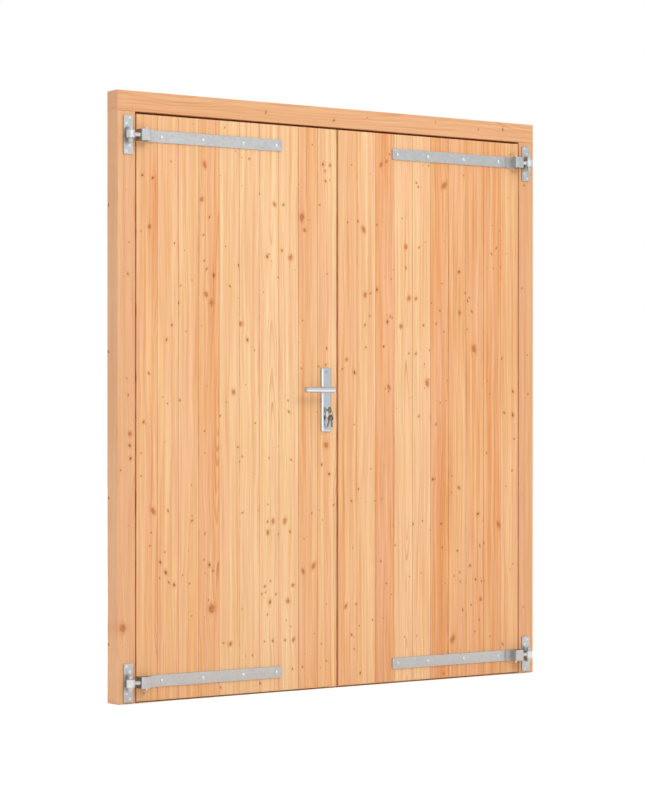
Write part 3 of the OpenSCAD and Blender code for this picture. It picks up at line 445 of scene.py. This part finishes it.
# %% Finishes by slot
finish_of = {
    "door_wood": door_wood,
    "frame_wood": frame_wood,
    "ledge_wood": ledge_wood,
    "galvanised_steel": galvanised,
    "zinc_fasteners": zinc,
    "satin_steel": satin,
    "lock_steel": lock_steel,
    "brass": brass,
    "nickel_key": nickel,
}
own_finish = {
    # the eye bolts and strap bolts take the lighter bolt zinc, whose extra brightness is a painted highlight
    "left_eye_bolts": bolt_zinc_painted_lighter,
    "right_eye_bolts": bolt_zinc_painted_lighter,
    "left_strap_bolts": bolt_zinc_painted_lighter,
    "right_strap_bolts": bolt_zinc_painted_lighter,
    "outside_lever": polished,
    "inside_lever": polished,
    "plate_bolts": lock_steel,
    "lock_key": worn_nickel,
    "key_ring": worn_nickel,
    "spare_keys": worn_nickel,
}
EASED_EDGE = 1.5 * MM
FACES_OF_PLAIN_STICK = 40  # a stick without holes has fewer
slot_of = {row["node"]: row["material_slot"] for row in frame["record"]["subparts"]}
for name, part in nodes.items():
    slot = slot_of[name]
    part.data.materials.clear()
    part.data.materials.append(own_finish.get(name, finish_of[slot]))
    pick(part)
    if slot in ("ledge_wood", "frame_wood") and len(part.data.polygons) < FACES_OF_PLAIN_STICK:
        bpy.ops.object.shade_flat()
        part.modifiers.new("weld", "WELD").merge_threshold = 0.01 * MM
        edge = part.modifiers.new("edge", "BEVEL")
        edge.width = EASED_EDGE
        edge.segments = 2
        edge.limit_method = "ANGLE"
        edge.angle_limit = math.radians(40)
    else:
        bpy.ops.object.shade_smooth_by_angle(angle=math.radians(30))
print("parts finished:", len(nodes), "with a finish of their own:", len(own_finish))

# %% [markdown]
# ## Laying the grain
# The grain follows the length of every stick: upright in boards, jambs and stiles, level in the header and the
# rails, slanting in the braces. A stick could be unwrapped for that, but its grain runs through it in depth, so
# each point stores its place in the stick, in metres, and the material reads it. Each face also takes its nearest
# knot, and its corners store their exact place from it. Patches are warm spots in the tone of a board.

# %% Laying the grain
NO_KNOT, NO_SPOT = (9.0, 9.0, 10.0), (9.0, 9.0, 0.0)  # far from any knot, in knot radii


def store(mesh, name, kind, rows, domain="POINT"):
    attribute = mesh.attributes.new(name, kind, domain)
    key = "value" if kind == "FLOAT" else "vector"
    attribute.data.foreach_set(key, [c for row in rows for c in row])


def warmth(point, patches):
    x, z = point.x / MM, point.z / MM
    return sum(
        [rise * math.exp(-(((x - px) / wide) ** 2) - ((z - pz) / tall) ** 2) for px, pz, wide, tall, rise in patches]
    )


def lay_grain(piece, lean, pith, ring, tone, seed, knots=(), patches=()):
    mesh = piece.data
    points = [v.co for v in mesh.vertices]
    count = len(points)
    middle = sum(p.y for p in points) / count
    cos, sin = math.cos(lean), math.sin(lean)
    centre_x = (min(p.x for p in points) + max(p.x for p in points)) / 2
    centre_z = (min(p.z for p in points) + max(p.z for p in points)) / 2
    grain, tones = [], []
    for p in points:
        dx, dz = p.x - centre_x, p.z - centre_z
        grain.append((dx * cos - dz * sin, p.y - middle, dx * sin + dz * cos))
        tones.append((tone + warmth(p, patches),))
    store(mesh, "grain", "FLOAT_VECTOR", grain)
    store(mesh, "tone", "FLOAT", tones)
    store(mesh, "seed", "FLOAT", [(seed,)] * count)
    store(mesh, "pith", "FLOAT_VECTOR", [(pith[0] * MM, pith[1] * MM, ring * MM)] * count)

    near, spots, sizes = [], [], []
    for face in mesh.polygons:
        x, z = face.center.x / MM, face.center.z / MM
        choice = min(knots, key=lambda knot: math.hypot(x - knot[0], z - knot[1]) / knot[2], default=None)
        for index in face.vertices:
            if choice is None:
                near.append(NO_KNOT)
                spots.append(NO_SPOT)
                sizes.append((0.0,))
                continue
            knot_x, knot_z, radius, turn, stretch, live = choice
            du = (points[index].x / MM - knot_x) / radius
            dv = (points[index].z / MM - knot_z) / radius
            near.append((du * cos - dv * sin, du * sin + dv * cos, 0.0))
            cos_turn, sin_turn = math.cos(turn), math.sin(turn)
            spots.append((du * cos_turn - dv * sin_turn, (du * sin_turn + dv * cos_turn) / stretch, live))
            sizes.append((radius * MM,))
    store(mesh, "knot", "FLOAT_VECTOR", near, "CORNER")
    store(mesh, "spot", "FLOAT_VECTOR", spots, "CORNER")
    store(mesh, "knot_size", "FLOAT", sizes, "CORNER")


print("grain tool ready")

# %% [markdown]
# ## Ledges, braces and stops
# These sticks are on the back, where one sees them in the round, so they keep their solid shape and only get
# their grain. The slope of a brace is taken from its own box. Each stick has a few live knots on its broad faces.

# %% Ledges, braces and stops
UPRIGHT, LEVEL = 0.0, math.pi / 2
LEDGE_RING = 4.2  # mm between rings
leans = {}
for name in nodes:
    if slot_of[name] == "ledge_wood" or name.endswith("_stop"):
        leans[name] = LEVEL if "rail" in name or name == "head_stop" else UPRIGHT
for side in ("left", "right"):
    for which in ("upper", "lower"):
        low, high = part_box(f"{side}_{which}_brace")
        slope = math.atan2(high[0] - low[0], high[2] - low[2])
        leans[f"{side}_{which}_brace"] = slope if side == "left" else -slope
ledge_dice = random.Random(29)
for count, (name, lean) in enumerate(leans.items()):
    pith = (80 + 40 * math.sin(count * 2.3), 25 + 15 * math.cos(count))
    tone = 0.4 + 0.3 * math.sin(count * 1.7)
    knots = []
    for face in sorted(nodes[name].data.polygons, key=lambda face: face.area)[-5:]:
        size = ledge_dice.uniform(3.0, 8.0)
        turn = ledge_dice.uniform(-0.6, 0.6)
        knots.append((face.center.x / MM, face.center.z / MM, size, turn, 1.3, 1.0))
    lay_grain(nodes[name], lean, pith, LEDGE_RING, tone, 3.7 * count, knots)
print("sticks with grain:", len(leans))

# %% [markdown]
# ## Timber as a fine grid
# The boards, the jambs and the header are seen close up, so each is modelled again as a fine grid with a planed
# edge. A box with a bevel would do for the shape, but knots need small faces. The grid is pulled back in steps:
# first the chamfer, then for a board the lap under its neighbour, then the body, and last the eased back edge.

# %% Timber as a fine grid
BACK_EDGE = 1 * MM
LAP_DEPTH, LAP_STEP = 4.5 * MM, 0.2 * MM


def timber(name, low, high, chamfer, cell, lap=0.0):
    width, depth, height = (high[i] - low[i] for i in range(3))
    middle = [(low[i] + high[i]) / 2 for i in range(3)]
    deselect()
    bpy.ops.mesh.primitive_grid_add(
        x_subdivisions=max(2, round(width / cell)),
        y_subdivisions=max(2, round(height / cell)),
        size=1,
        location=(middle[0], low[1], middle[2]),
        rotation=(math.pi / 2, 0, 0),
    )
    piece = start_piece(name)
    face_width = width - 2 * chamfer
    face_height = height - 2 * min(chamfer, 1 * MM)
    piece.scale = (face_width, face_height, 1)
    settle()
    steps = [(chamfer, width / face_width, height / face_height)]
    if lap:
        steps += [(LAP_DEPTH, 1, 1), (LAP_STEP, (width + lap) / width, 1)]
    used = sum(step[0] for step in steps)
    steps.append((depth - used - BACK_EDGE, 1, 1))
    steps.append((BACK_EDGE, 1 - 2 * BACK_EDGE / width, 1 - 2 * BACK_EDGE / height))
    bpy.ops.object.mode_set(mode="EDIT")
    bpy.ops.mesh.select_all(action="SELECT")
    for back, wider, taller in steps:
        bpy.ops.mesh.extrude_region_move(TRANSFORM_OT_translate={"value": (0, back, 0)})
        bpy.ops.transform.resize(value=(wider, 1, taller), center_override=middle)
    close_up()
    return piece


print("timber tool ready")

# %% [markdown]
# ## Knots in the leaves
# The larger knots stand where the eye finds them on the door: place across and up, and radius, in mm. Two
# neighbours in each leaf were sawn from one plank and opened like a book, so their knots mirror each other about
# the joint. Every knot then gets its own slant, length and kind, and tiny pin knots are strewn between them.

# %% Knots in the leaves
left_knots = [
    (-771, 1797, 4), (-812, 1804, 4), (-784, 1630, 4), (-807, 960, 4), (-770, 655, 4), (-695, 1293, 4),
    (-716, 1243, 4), (-741, 478, 4), (-719, 442, 4), (-686, 398, 4), (-562, 1854, 4), (-575, 1733, 4),
    (-525, 1470, 4), (-556, 1404, 4), (-533, 1375, 5), (-543, 462, 4), (-533, 309, 7), (-444, 1064, 4),
    (-457, 182, 4), (-413, 1304, 4), (-386, 1248, 4), (-155, 1690, 5), (-143, 1644, 5), (-150, 425, 5),
    (-105, 442, 5), (-78, 1737, 4), (-64, 1884, 4), (-33, 1881, 4), (-53, 1824, 4), (-50, 875, 5),
    (-69, 805, 4), (-37, 771, 4),
]
left_pairs = [
    (19, 1730, 4), (50, 1544, 4), (25, 607, 4), (47, 568, 4), (60, 377, 4), (38, 321, 4), (26, 183, 3),
    (62, 183, 3),
]
right_knots = [
    (218, 1910, 4), (194, 1897, 4), (175, 1677, 4), (115, 1657, 4), (122, 1420, 5), (175, 1441, 4),
    (484, 1837, 6), (552, 1517, 4), (555, 1364, 4), (463, 1370, 4), (284, 1308, 4), (387, 1314, 4),
    (222, 1324, 4), (205, 1233, 4), (75, 1137, 4), (40, 1184, 4), (229, 1084, 4), (404, 1100, 4),
    (623, 1230, 7), (810, 1071, 4), (810, 982, 4), (430, 744, 4), (552, 711, 4), (642, 611, 4),
    (469, 578, 4), (741, 568, 4), (545, 475, 4), (605, 418, 4), (631, 365, 4), (655, 289, 4),
    (523, 147, 6), (62, 187, 4), (36, 291, 4),
]
right_pairs = [(30, 1601, 4), (16, 1412, 4), (16, 1209, 4)]
LEFT_JOINT, RIGHT_JOINT = -253, 336
left_knots += [(LEFT_JOINT + s * x, z, r) for x, z, r in left_pairs for s in (-1, 1)]
right_knots += [(RIGHT_JOINT + s * x, z, r) for x, z, r in right_pairs for s in (-1, 1)]
LIVE_SHARE, LIVE_SIZE, PIN_SIZE = 0.45, 1.25, 0.72
KNOT_MARGIN = 12 * MM


def grow_knots(places, low, high, count, dice):
    grown = []
    for x, z, r in places:
        live = 1.0 if r > 4 or dice.random() < LIVE_SHARE else 0.0
        size = r * (LIVE_SIZE if live else PIN_SIZE) * dice.uniform(0.75, 1.35)
        grown.append((x, z, size, dice.uniform(-0.7, 0.7), dice.uniform(1.0, 1.8), live))
    for _ in range(count):
        place = [dice.uniform(low[i] + KNOT_MARGIN, high[i] - KNOT_MARGIN) / MM for i in (0, 2)]
        grown.append((*place, dice.uniform(0.9, 2.4), dice.uniform(-0.7, 0.7), dice.uniform(1.0, 2.2), 0.0))
    return grown


print("larger knots:", len(left_knots), "left and", len(right_knots), "right")

# %% [markdown]
# ## Boards
# Ten boards to a leaf, and no two alike: pale yellow sapwood next to orange heartwood. Each board gets its tone,
# the place of its pith and the width of its rings. A streak of resin and a few warm patches cross them. The boards
# meet in a fine open joint over a tongue, which is drawn as a lap that fills the joint behind the face.

# %% Boards
BOARD_JOINT, BOARD_CHAMFER, BOARD_CELL = 0.8 * MM, 1.1 * MM, 8 * MM
BOARDS, STREWN_PINS = 10, 130
dice = random.Random(17)

# across, up, half width and half height in mm, and rise in tone
left_patches = [
    (-770, 1690, 13, 120, 1.3),
    (-762, 1500, 18, 160, 0.3),
    (-520, 900, 20, 400, 0.25),
    (-150, 1650, 16, 200, 0.3),
]
right_patches = [
    (480, 1100, 15, 500, 0.3),
    (180, 700, 18, 350, 0.3),
    (700, 900, 14, 600, 0.3),
    (380, 400, 20, 200, 0.25),
]

# tone, pith across and behind the board in mm, ring width in mm
left_looks = [
    (0.58, 70, 30, 3.4), (0.52, 95, 25, 3.0), (0.50, -90, 20, 3.2), (0.68, 60, 35, 3.6), (0.32, -100, 30, 2.8),
    (0.24, 85, 20, 3.0), (0.20, 34, 26, 4.2), (0.20, -34, 26, 4.2), (0.58, -80, 25, 3.0), (0.45, 65, 30, 3.2),
]
right_looks = [
    (0.58, -75, 25, 3.2), (0.40, 90, 30, 3.0), (0.80, -60, 25, 3.4), (0.24, 36, 24, 4.0), (0.24, -36, 24, 4.0),
    (0.80, 70, 30, 3.2), (0.74, -95, 20, 3.0), (0.78, 80, 28, 3.2), (0.76, -70, 25, 3.0), (0.58, 75, 30, 3.4),
]
for side, places, looks, twin, patches, first_seed in (
    ("left", left_knots, left_looks, 6, left_patches, 0),
    ("right", right_knots, right_looks, 3, right_patches, 40),
):
    low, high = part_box(f"{side}_boards")
    pitch = (high[0] - low[0]) / BOARDS
    knots = grow_knots(places, low, high, STREWN_PINS, dice)
    for i, (tone, pith_x, pith_y, ring) in enumerate(looks):
        start = (low[0] + i * pitch + BOARD_JOINT / 2, low[1], low[2])
        end = (low[0] + (i + 1) * pitch - BOARD_JOINT / 2, high[1], high[2])
        board = timber(f"{side}_board_{i + 1}", start, end, BOARD_CHAMFER, BOARD_CELL, BOARD_JOINT)
        seed = 5.3 * (twin if i == twin + 1 else i) + first_seed
        own = [knot for knot in knots if start[0] / MM < knot[0] < end[0] / MM]
        lay_grain(board, UPRIGHT, (pith_x, pith_y), ring, tone, seed, own, patches)
        board.data.materials.append(door_wood)
        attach(board, f"{side}_leaf")
        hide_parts(f"{side}_boards")
    print(side, "boards at a pitch of", round(pitch / MM, 1), "mm")

# %% [markdown]
# ## Frame
# The jambs and the header are heavier sticks with eased edges. The jambs keep the holes for the wall fixings. The
# header keeps the sunk holes for its own screws and the keeper hole of the upper bolt. All are bored with a cutter.

# %% Frame
FIXING_HEIGHTS = (200, 700, 1200, 1700)
FIXING_X, FIXING_Y, FIXING_RADIUS = 0.875, 0.03515, 5 * MM
SCREW_HEAD_RADIUS, HEADER_TOP = 8 * MM, 2.090
FRAME_CHAMFER, FRAME_CELL = 2 * MM, 9 * MM


def bore(piece, place, radius, length, turn=(0, 0, 0)):
    deselect()
    bpy.ops.mesh.primitive_cylinder_add(vertices=32, radius=radius, depth=length, location=place, rotation=turn)
    cut_away(piece, bpy.context.active_object)


sticks = {}
for name in ("left_jamb", "right_jamb", "header"):
    sticks[name] = timber(f"{name}_stick", *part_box(name), FRAME_CHAMFER, FRAME_CELL)
for side, sign in (("left", -1), ("right", 1)):
    for height in FIXING_HEIGHTS:
        place = (sign * FIXING_X, FIXING_Y, height * MM)
        bore(sticks[f"{side}_jamb"], place, FIXING_RADIUS, 80 * MM, (0, math.pi / 2, 0))
low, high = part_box("frame_screws")
for x in (low[0] + SCREW_HEAD_RADIUS, high[0] - SCREW_HEAD_RADIUS):
    for y in (low[1] + SCREW_HEAD_RADIUS, high[1] - SCREW_HEAD_RADIUS):
        bore(sticks["header"], (x, y, HEADER_TOP), 9 * MM, 16 * MM)
low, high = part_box("upper_edge_bolt")
keeper = (high[0] - 5 * MM, (low[1] + high[1]) / 2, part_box("header")[0][2])
bore(sticks["header"], keeper, 6 * MM, 36 * MM)
print("frame sticks bored:", list(sticks))

# %% [markdown]
# ## Grain of the frame
# The posts take the same grain as the boards, upright in the jambs and level in the header. The left jamb has a
# knot low down and three small ones a little below halfway, and a few pin knots are strewn over all three.

# %% Grain of the frame
jamb_knots = [(-861, 920, 4), (-862, 880, 4), (-859, 836, 4), (-889, 259, 9)]
left_grown = grow_knots(jamb_knots, *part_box("left_jamb"), 8, dice)
right_grown = grow_knots([], *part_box("right_jamb"), 8, dice)
header_grown = grow_knots([], *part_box("header"), 6, dice)
lay_grain(sticks["left_jamb"], UPRIGHT, (70, 60), 3.6, 0.35, 71.0, left_grown)
lay_grain(sticks["right_jamb"], UPRIGHT, (-75, 55), 3.4, 0.5, 77.0, right_grown)
lay_grain(sticks["header"], LEVEL, (-15, 75), 4.4, 0.45, 83.0, header_grown)
for name, stick in sticks.items():
    stick.data.materials.append(frame_wood)
    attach(stick, "frame")
    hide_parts(name)
print("knots in the left jamb:", len(left_grown))

# %% [markdown]
# ## A screw head
# A screw head is a low rounded disc with a cross recess. A picture of a cross would do from far off, but the recess
# catches real shade, so it is cut. One head is made for each size and then copied to its places.


# %% A screw head
def make_head(radius, rise, slot):
    deselect()
    bpy.ops.mesh.primitive_cylinder_add(vertices=36, radius=radius, depth=rise, location=(0, 0, rise / 2))
    head = start_piece("screw_master")
    soft = head.modifiers.new("round", "BEVEL")
    soft.width = 0.6 * rise
    soft.segments = 3
    soft.limit_method = "ANGLE"
    bpy.ops.object.modifier_apply(modifier="round")
    for turn in (0.0, math.pi / 2):
        deselect()
        bpy.ops.mesh.primitive_cube_add(size=1, location=(0, 0, rise), rotation=(0, 0, turn + 0.4))
        cutter = bpy.context.active_object
        cutter.scale = (1.15 * radius, slot, 1.2 * rise)
        cut_away(head, cutter)
    return head


def set_out(master, name, places, turn_x, finish, body):
    copies = []
    for place in places:
        pick(master)
        bpy.ops.object.duplicate()
        copy = bpy.context.active_object
        copy.location = place
        copy.rotation_euler = (turn_x, 0, 0)
        settle()
        copies.append(copy)
    piece = join_as(name, copies)
    bpy.ops.object.shade_smooth_by_angle(angle=math.radians(35))
    piece.data.materials.clear()
    piece.data.materials.append(finish)
    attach(piece, body)
    return piece


FACING_FRONT, FACING_BACK = math.pi / 2, -math.pi / 2
print("screw tools ready")

# %% [markdown]
# ## Screws in their places
# Round heads hold the pin plates, four to a plate. Flat heads hold the boards to the ledges from behind, two to a
# board in every rail and a row down each stile. The bolts of the lever plates get a thin cap with the same recess.

# %% Screws in their places
PIN_X, PIN_Y, UPPER_Z, LOWER_Z = 0.870, -0.0475, 1.939, 0.072
PLATE_FACE = -31 * MM
PLATE_SCREWS = ((-6.48, 56), (6.48, 36))  # across and out from the pin, in mm
round_head = make_head(5.5 * MM, 2.5 * MM, 1.2 * MM)
places = []
for sign in (-1, 1):
    for height, up in ((LOWER_Z, 1), (UPPER_Z, -1)):
        for end in (-1, 1):
            for along, out in PLATE_SCREWS:
                x = sign * PIN_X - sign * end * along * MM
                places.append((x, PLATE_FACE, height + up * end * out * MM))
heads = set_out(round_head, "pin_plate_screw_heads", places, FACING_FRONT, zinc, "frame")
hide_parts("pin_plate_screws")

LEAF_EDGE, BOARD_PITCH = 836, 83.3
STILE_MIDDLES = (791, 48)
STILE_SCREWS = (220, 460, 700, 1300, 1540, 1780)
flat_head = make_head(4.2 * MM, 0.7 * MM, 1.1 * MM)
for side, sign in (("left", -1), ("right", 1)):
    places = []
    for rail in ("top", "middle", "bottom"):
        low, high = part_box(f"{side}_{rail}_rail")
        middle = (low[2] + high[2]) / 2
        for i in range(1, 9):
            x = sign * (LEAF_EDGE - BOARD_PITCH * (i + 0.5)) * MM
            places += [(x, high[1], middle + 30 * MM), (x, high[1], middle - 30 * MM)]
    for x in STILE_MIDDLES:
        places += [(sign * x * MM, high[1], z * MM) for z in STILE_SCREWS]
    set_out(flat_head, f"{side}_ledge_screws", places, FACING_BACK, zinc, f"{side}_leaf")

CAP_INSET = 4.5 * MM
cap_head = make_head(4.3 * MM, 0.6 * MM, 1.1 * MM)
low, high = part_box("plate_bolts")
middle = (low[0] + high[0]) / 2
for which, face, turn in (("outside", low[1], FACING_FRONT), ("inside", high[1], FACING_BACK)):
    places = [(middle, face, low[2] + CAP_INSET), (middle, face, high[2] - CAP_INSET)]
    set_out(cap_head, f"{which}_plate_bolt_caps", places, turn, lock_steel, "left_leaf")
for master in (round_head, flat_head, cap_head):
    bpy.data.objects.remove(master, do_unlink=True)
print("screw heads set out")

# %% [markdown]
# ## Threads
# The shank of each eye bolt is threaded, and the thread shows between the eye and the folded box. A true helix
# would need a screw modifier and a clean end. A ring drawn out step by step, wider and narrower in turn, gives
# the ridges of a coarse thread without its slope, and at this size the slope can't be seen.

# %% Threads
EYE_REACH, THREAD_START = 15 * MM, 0.4 * MM  # from the pin to the eye's outside, and clear of the box
THREAD_PITCH, THREAD_CORE, THREAD_RISE = 2 * MM, 6.9 * MM, 1.11
for side, sign in (("left", -1), ("right", 1)):
    for which, height in (("upper", UPPER_Z), ("lower", LOWER_Z)):
        low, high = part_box(f"{which}_{side}_strap")
        near = abs(low[0] if side == "left" else high[0])
        ridges = int((PIN_X - EYE_REACH - near - THREAD_START) / THREAD_PITCH)
        deselect()
        bpy.ops.mesh.primitive_circle_add(
            vertices=32,
            radius=THREAD_CORE,
            fill_type="NGON",
            location=(sign * (near + THREAD_START), PIN_Y, height),
            rotation=(0, math.pi / 2, 0),
        )
        thread = start_piece(f"{which}_{side}_thread")
        settle()
        bpy.ops.object.mode_set(mode="EDIT")
        bpy.ops.mesh.select_all(action="SELECT")
        for grow in (THREAD_RISE, 1 / THREAD_RISE) * ridges:
            bpy.ops.mesh.extrude_region_move(TRANSFORM_OT_translate={"value": (sign * THREAD_PITCH / 2, 0, 0)})
            bpy.ops.transform.resize(value=(1, grow, grow), center_override=(0, PIN_Y, height))
        close_up()
        bpy.ops.object.shade_smooth_by_angle(angle=math.radians(25))
        # the threads take the same lighter bolt zinc, a painted highlight
        thread.data.materials.append(bolt_zinc_painted_lighter)
        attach(thread, f"{side}_leaf")
print("threads cut, ridges to a bolt:", ridges)

# %% [markdown]
# ## Welds
# The folded tail of each strap is welded to the strap. A weld is a row of overlapping drops that froze one after
# the other. A bent rod would look too even, so a row of small flattened balls is laid where the tail ends.

# %% Welds
WELD_X, WELD_Y = 99.3, -32.3 * MM  # mm in from the pin, and the face of the strap
DROPS, DROP_PITCH, DROP_RADIUS = 13, 2.6, 2.3 * MM
weld_dice = random.Random(5)
for side, sign in (("left", -1), ("right", 1)):
    for which, height in (("upper", UPPER_Z), ("lower", LOWER_Z)):
        drops = []
        for i in range(DROPS):
            deselect()
            jitter = weld_dice.uniform(-0.25, 0.25)
            place = (sign * (PIN_X - (WELD_X + jitter) * MM), WELD_Y, height + (i - DROPS // 2) * DROP_PITCH * MM)
            bpy.ops.mesh.primitive_uv_sphere_add(segments=16, ring_count=8, radius=DROP_RADIUS, location=place)
            drop = bpy.context.active_object
            drop.scale = (1.15, 1.0, 0.9 + jitter)
            settle()
            bpy.ops.object.shade_smooth()
            drops.append(drop)
        weld = join_as(f"{which}_{side}_weld", drops)
        weld.data.materials.append(galvanised)
        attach(weld, f"{side}_leaf")
print("welds laid, drops to a weld:", DROPS)

# %% [markdown]
# ## Floor and surround
# A white floor and a white surround let the door stand free as on a catalogue page. The eye, metal and glass see
# both as plain white, by the path of the light. The other light that the surround sheds is stronger from overhead,
# as under a studio ceiling, and the floor keeps the shadow under the leaves.

# %% Floor and surround
WHITE = (1.0, 1.0, 1.0, 1.0)
PAPER, SEEN_PAPER = (0.8, 0.8, 0.8, 1.0), (1.3, 1.3, 1.3, 1.0)
HORIZON_LIGHT, CEILING_LIGHT = 0.45, 1.02


def seen_as_white(tree):
    path = add(tree, "ShaderNodeLightPath").node.outputs
    shiny = add(tree, MATH, {0: path["Is Glossy Ray"], 1: path["Is Transmission Ray"]}, operation="MAXIMUM")
    return add(tree, MATH, {0: path["Is Camera Ray"], 1: shiny}, operation="MAXIMUM")


deselect()
bpy.ops.mesh.primitive_plane_add(size=40, location=(0, 0, -0.5 * MM))
floor = start_piece("floor")
# a matt paper sweep: white to the eye, with the soft shadow of the door on it
paper, tree = new_material("white paper floor")
matte = add(tree, "ShaderNodeBsdfDiffuse", {0: PAPER})
bright = add(tree, "ShaderNodeBsdfDiffuse", {0: SEEN_PAPER})
both = add(tree, "ShaderNodeMixShader", {0: seen_as_white(tree), 1: matte, 2: bright})
add(tree, "ShaderNodeOutputMaterial", {0: both})
floor.data.materials.append(paper)

world = bpy.data.worlds.new("white surround")
bpy.context.scene.world = world
world.use_nodes = True
tree = world.node_tree
tree.nodes.clear()
way = add(tree, SPLIT, {0: add(tree, "ShaderNodeTexCoord", out=0)}, out=2)
rise = {0: way, 1: 0.05, 2: 0.6, 3: HORIZON_LIGHT, 4: CEILING_LIGHT}
overhead = add(tree, "ShaderNodeMapRange", rise, interpolation_type="SMOOTHSTEP")
soft = add(tree, "ShaderNodeBackground", {0: WHITE, 1: overhead})
plain = add(tree, "ShaderNodeBackground", {0: WHITE, 1: 1.0})
both = add(tree, "ShaderNodeMixShader", {0: seen_as_white(tree), 1: soft, 2: plain})
add(tree, "ShaderNodeOutputWorld", {0: both})
print("floor and surround ready")

# %% [markdown]
# ## Lights
# A large soft light from high in front gives the lever and the straps their gentle shadows, a low one from the
# left fills them, and one lights the back. All point at the middle of the door, one metre up.

# %% Lights
for name, place, size, power in (
    ("key light", (0.6, -5.2, 5.0), 2.4, 98.0),
    ("fill light", (-3.0, -6.0, 1.2), 3.0, 33.0),
    ("back light", (1.5, 5.0, 4.0), 3.0, 100.0),
):
    bpy.ops.object.light_add(type="AREA", location=place)
    lamp = bpy.context.active_object
    lamp.name = name
    lamp.data.size = size
    lamp.data.energy = power
    aim = (-place[0], -place[1], 1.0 - place[2])
    level = math.hypot(aim[0], aim[1])
    lamp.rotation_euler = (math.atan2(level, -aim[2]), 0, math.atan2(-aim[0], aim[1]))
    print(name, "at", place, "with", power, "W")

# %% [markdown]
# ## Camera
# The picture was taken from the left, one metre up, with a long lens: upright lines stay upright, and the
# left jamb is nearer and taller than the right one. The camera looks level, so no upright leans.

# %% Camera
CAMERA_PLACE, CAMERA_TURN = (-4.974, -7.193, 1.001), math.radians(-34.405)
deselect()
bpy.ops.object.camera_add(location=CAMERA_PLACE, rotation=(math.pi / 2, 0, CAMERA_TURN))
camera = bpy.context.active_object
camera.name = "front left camera"
camera.data.lens = 108.8
camera.data.sensor_width = 36.0
camera.data.shift_y = 0.0125
bpy.context.scene.camera = camera
bpy.context.scene.view_settings.view_transform = "Standard"
print("camera lens:", round(camera.data.lens, 1), "mm")
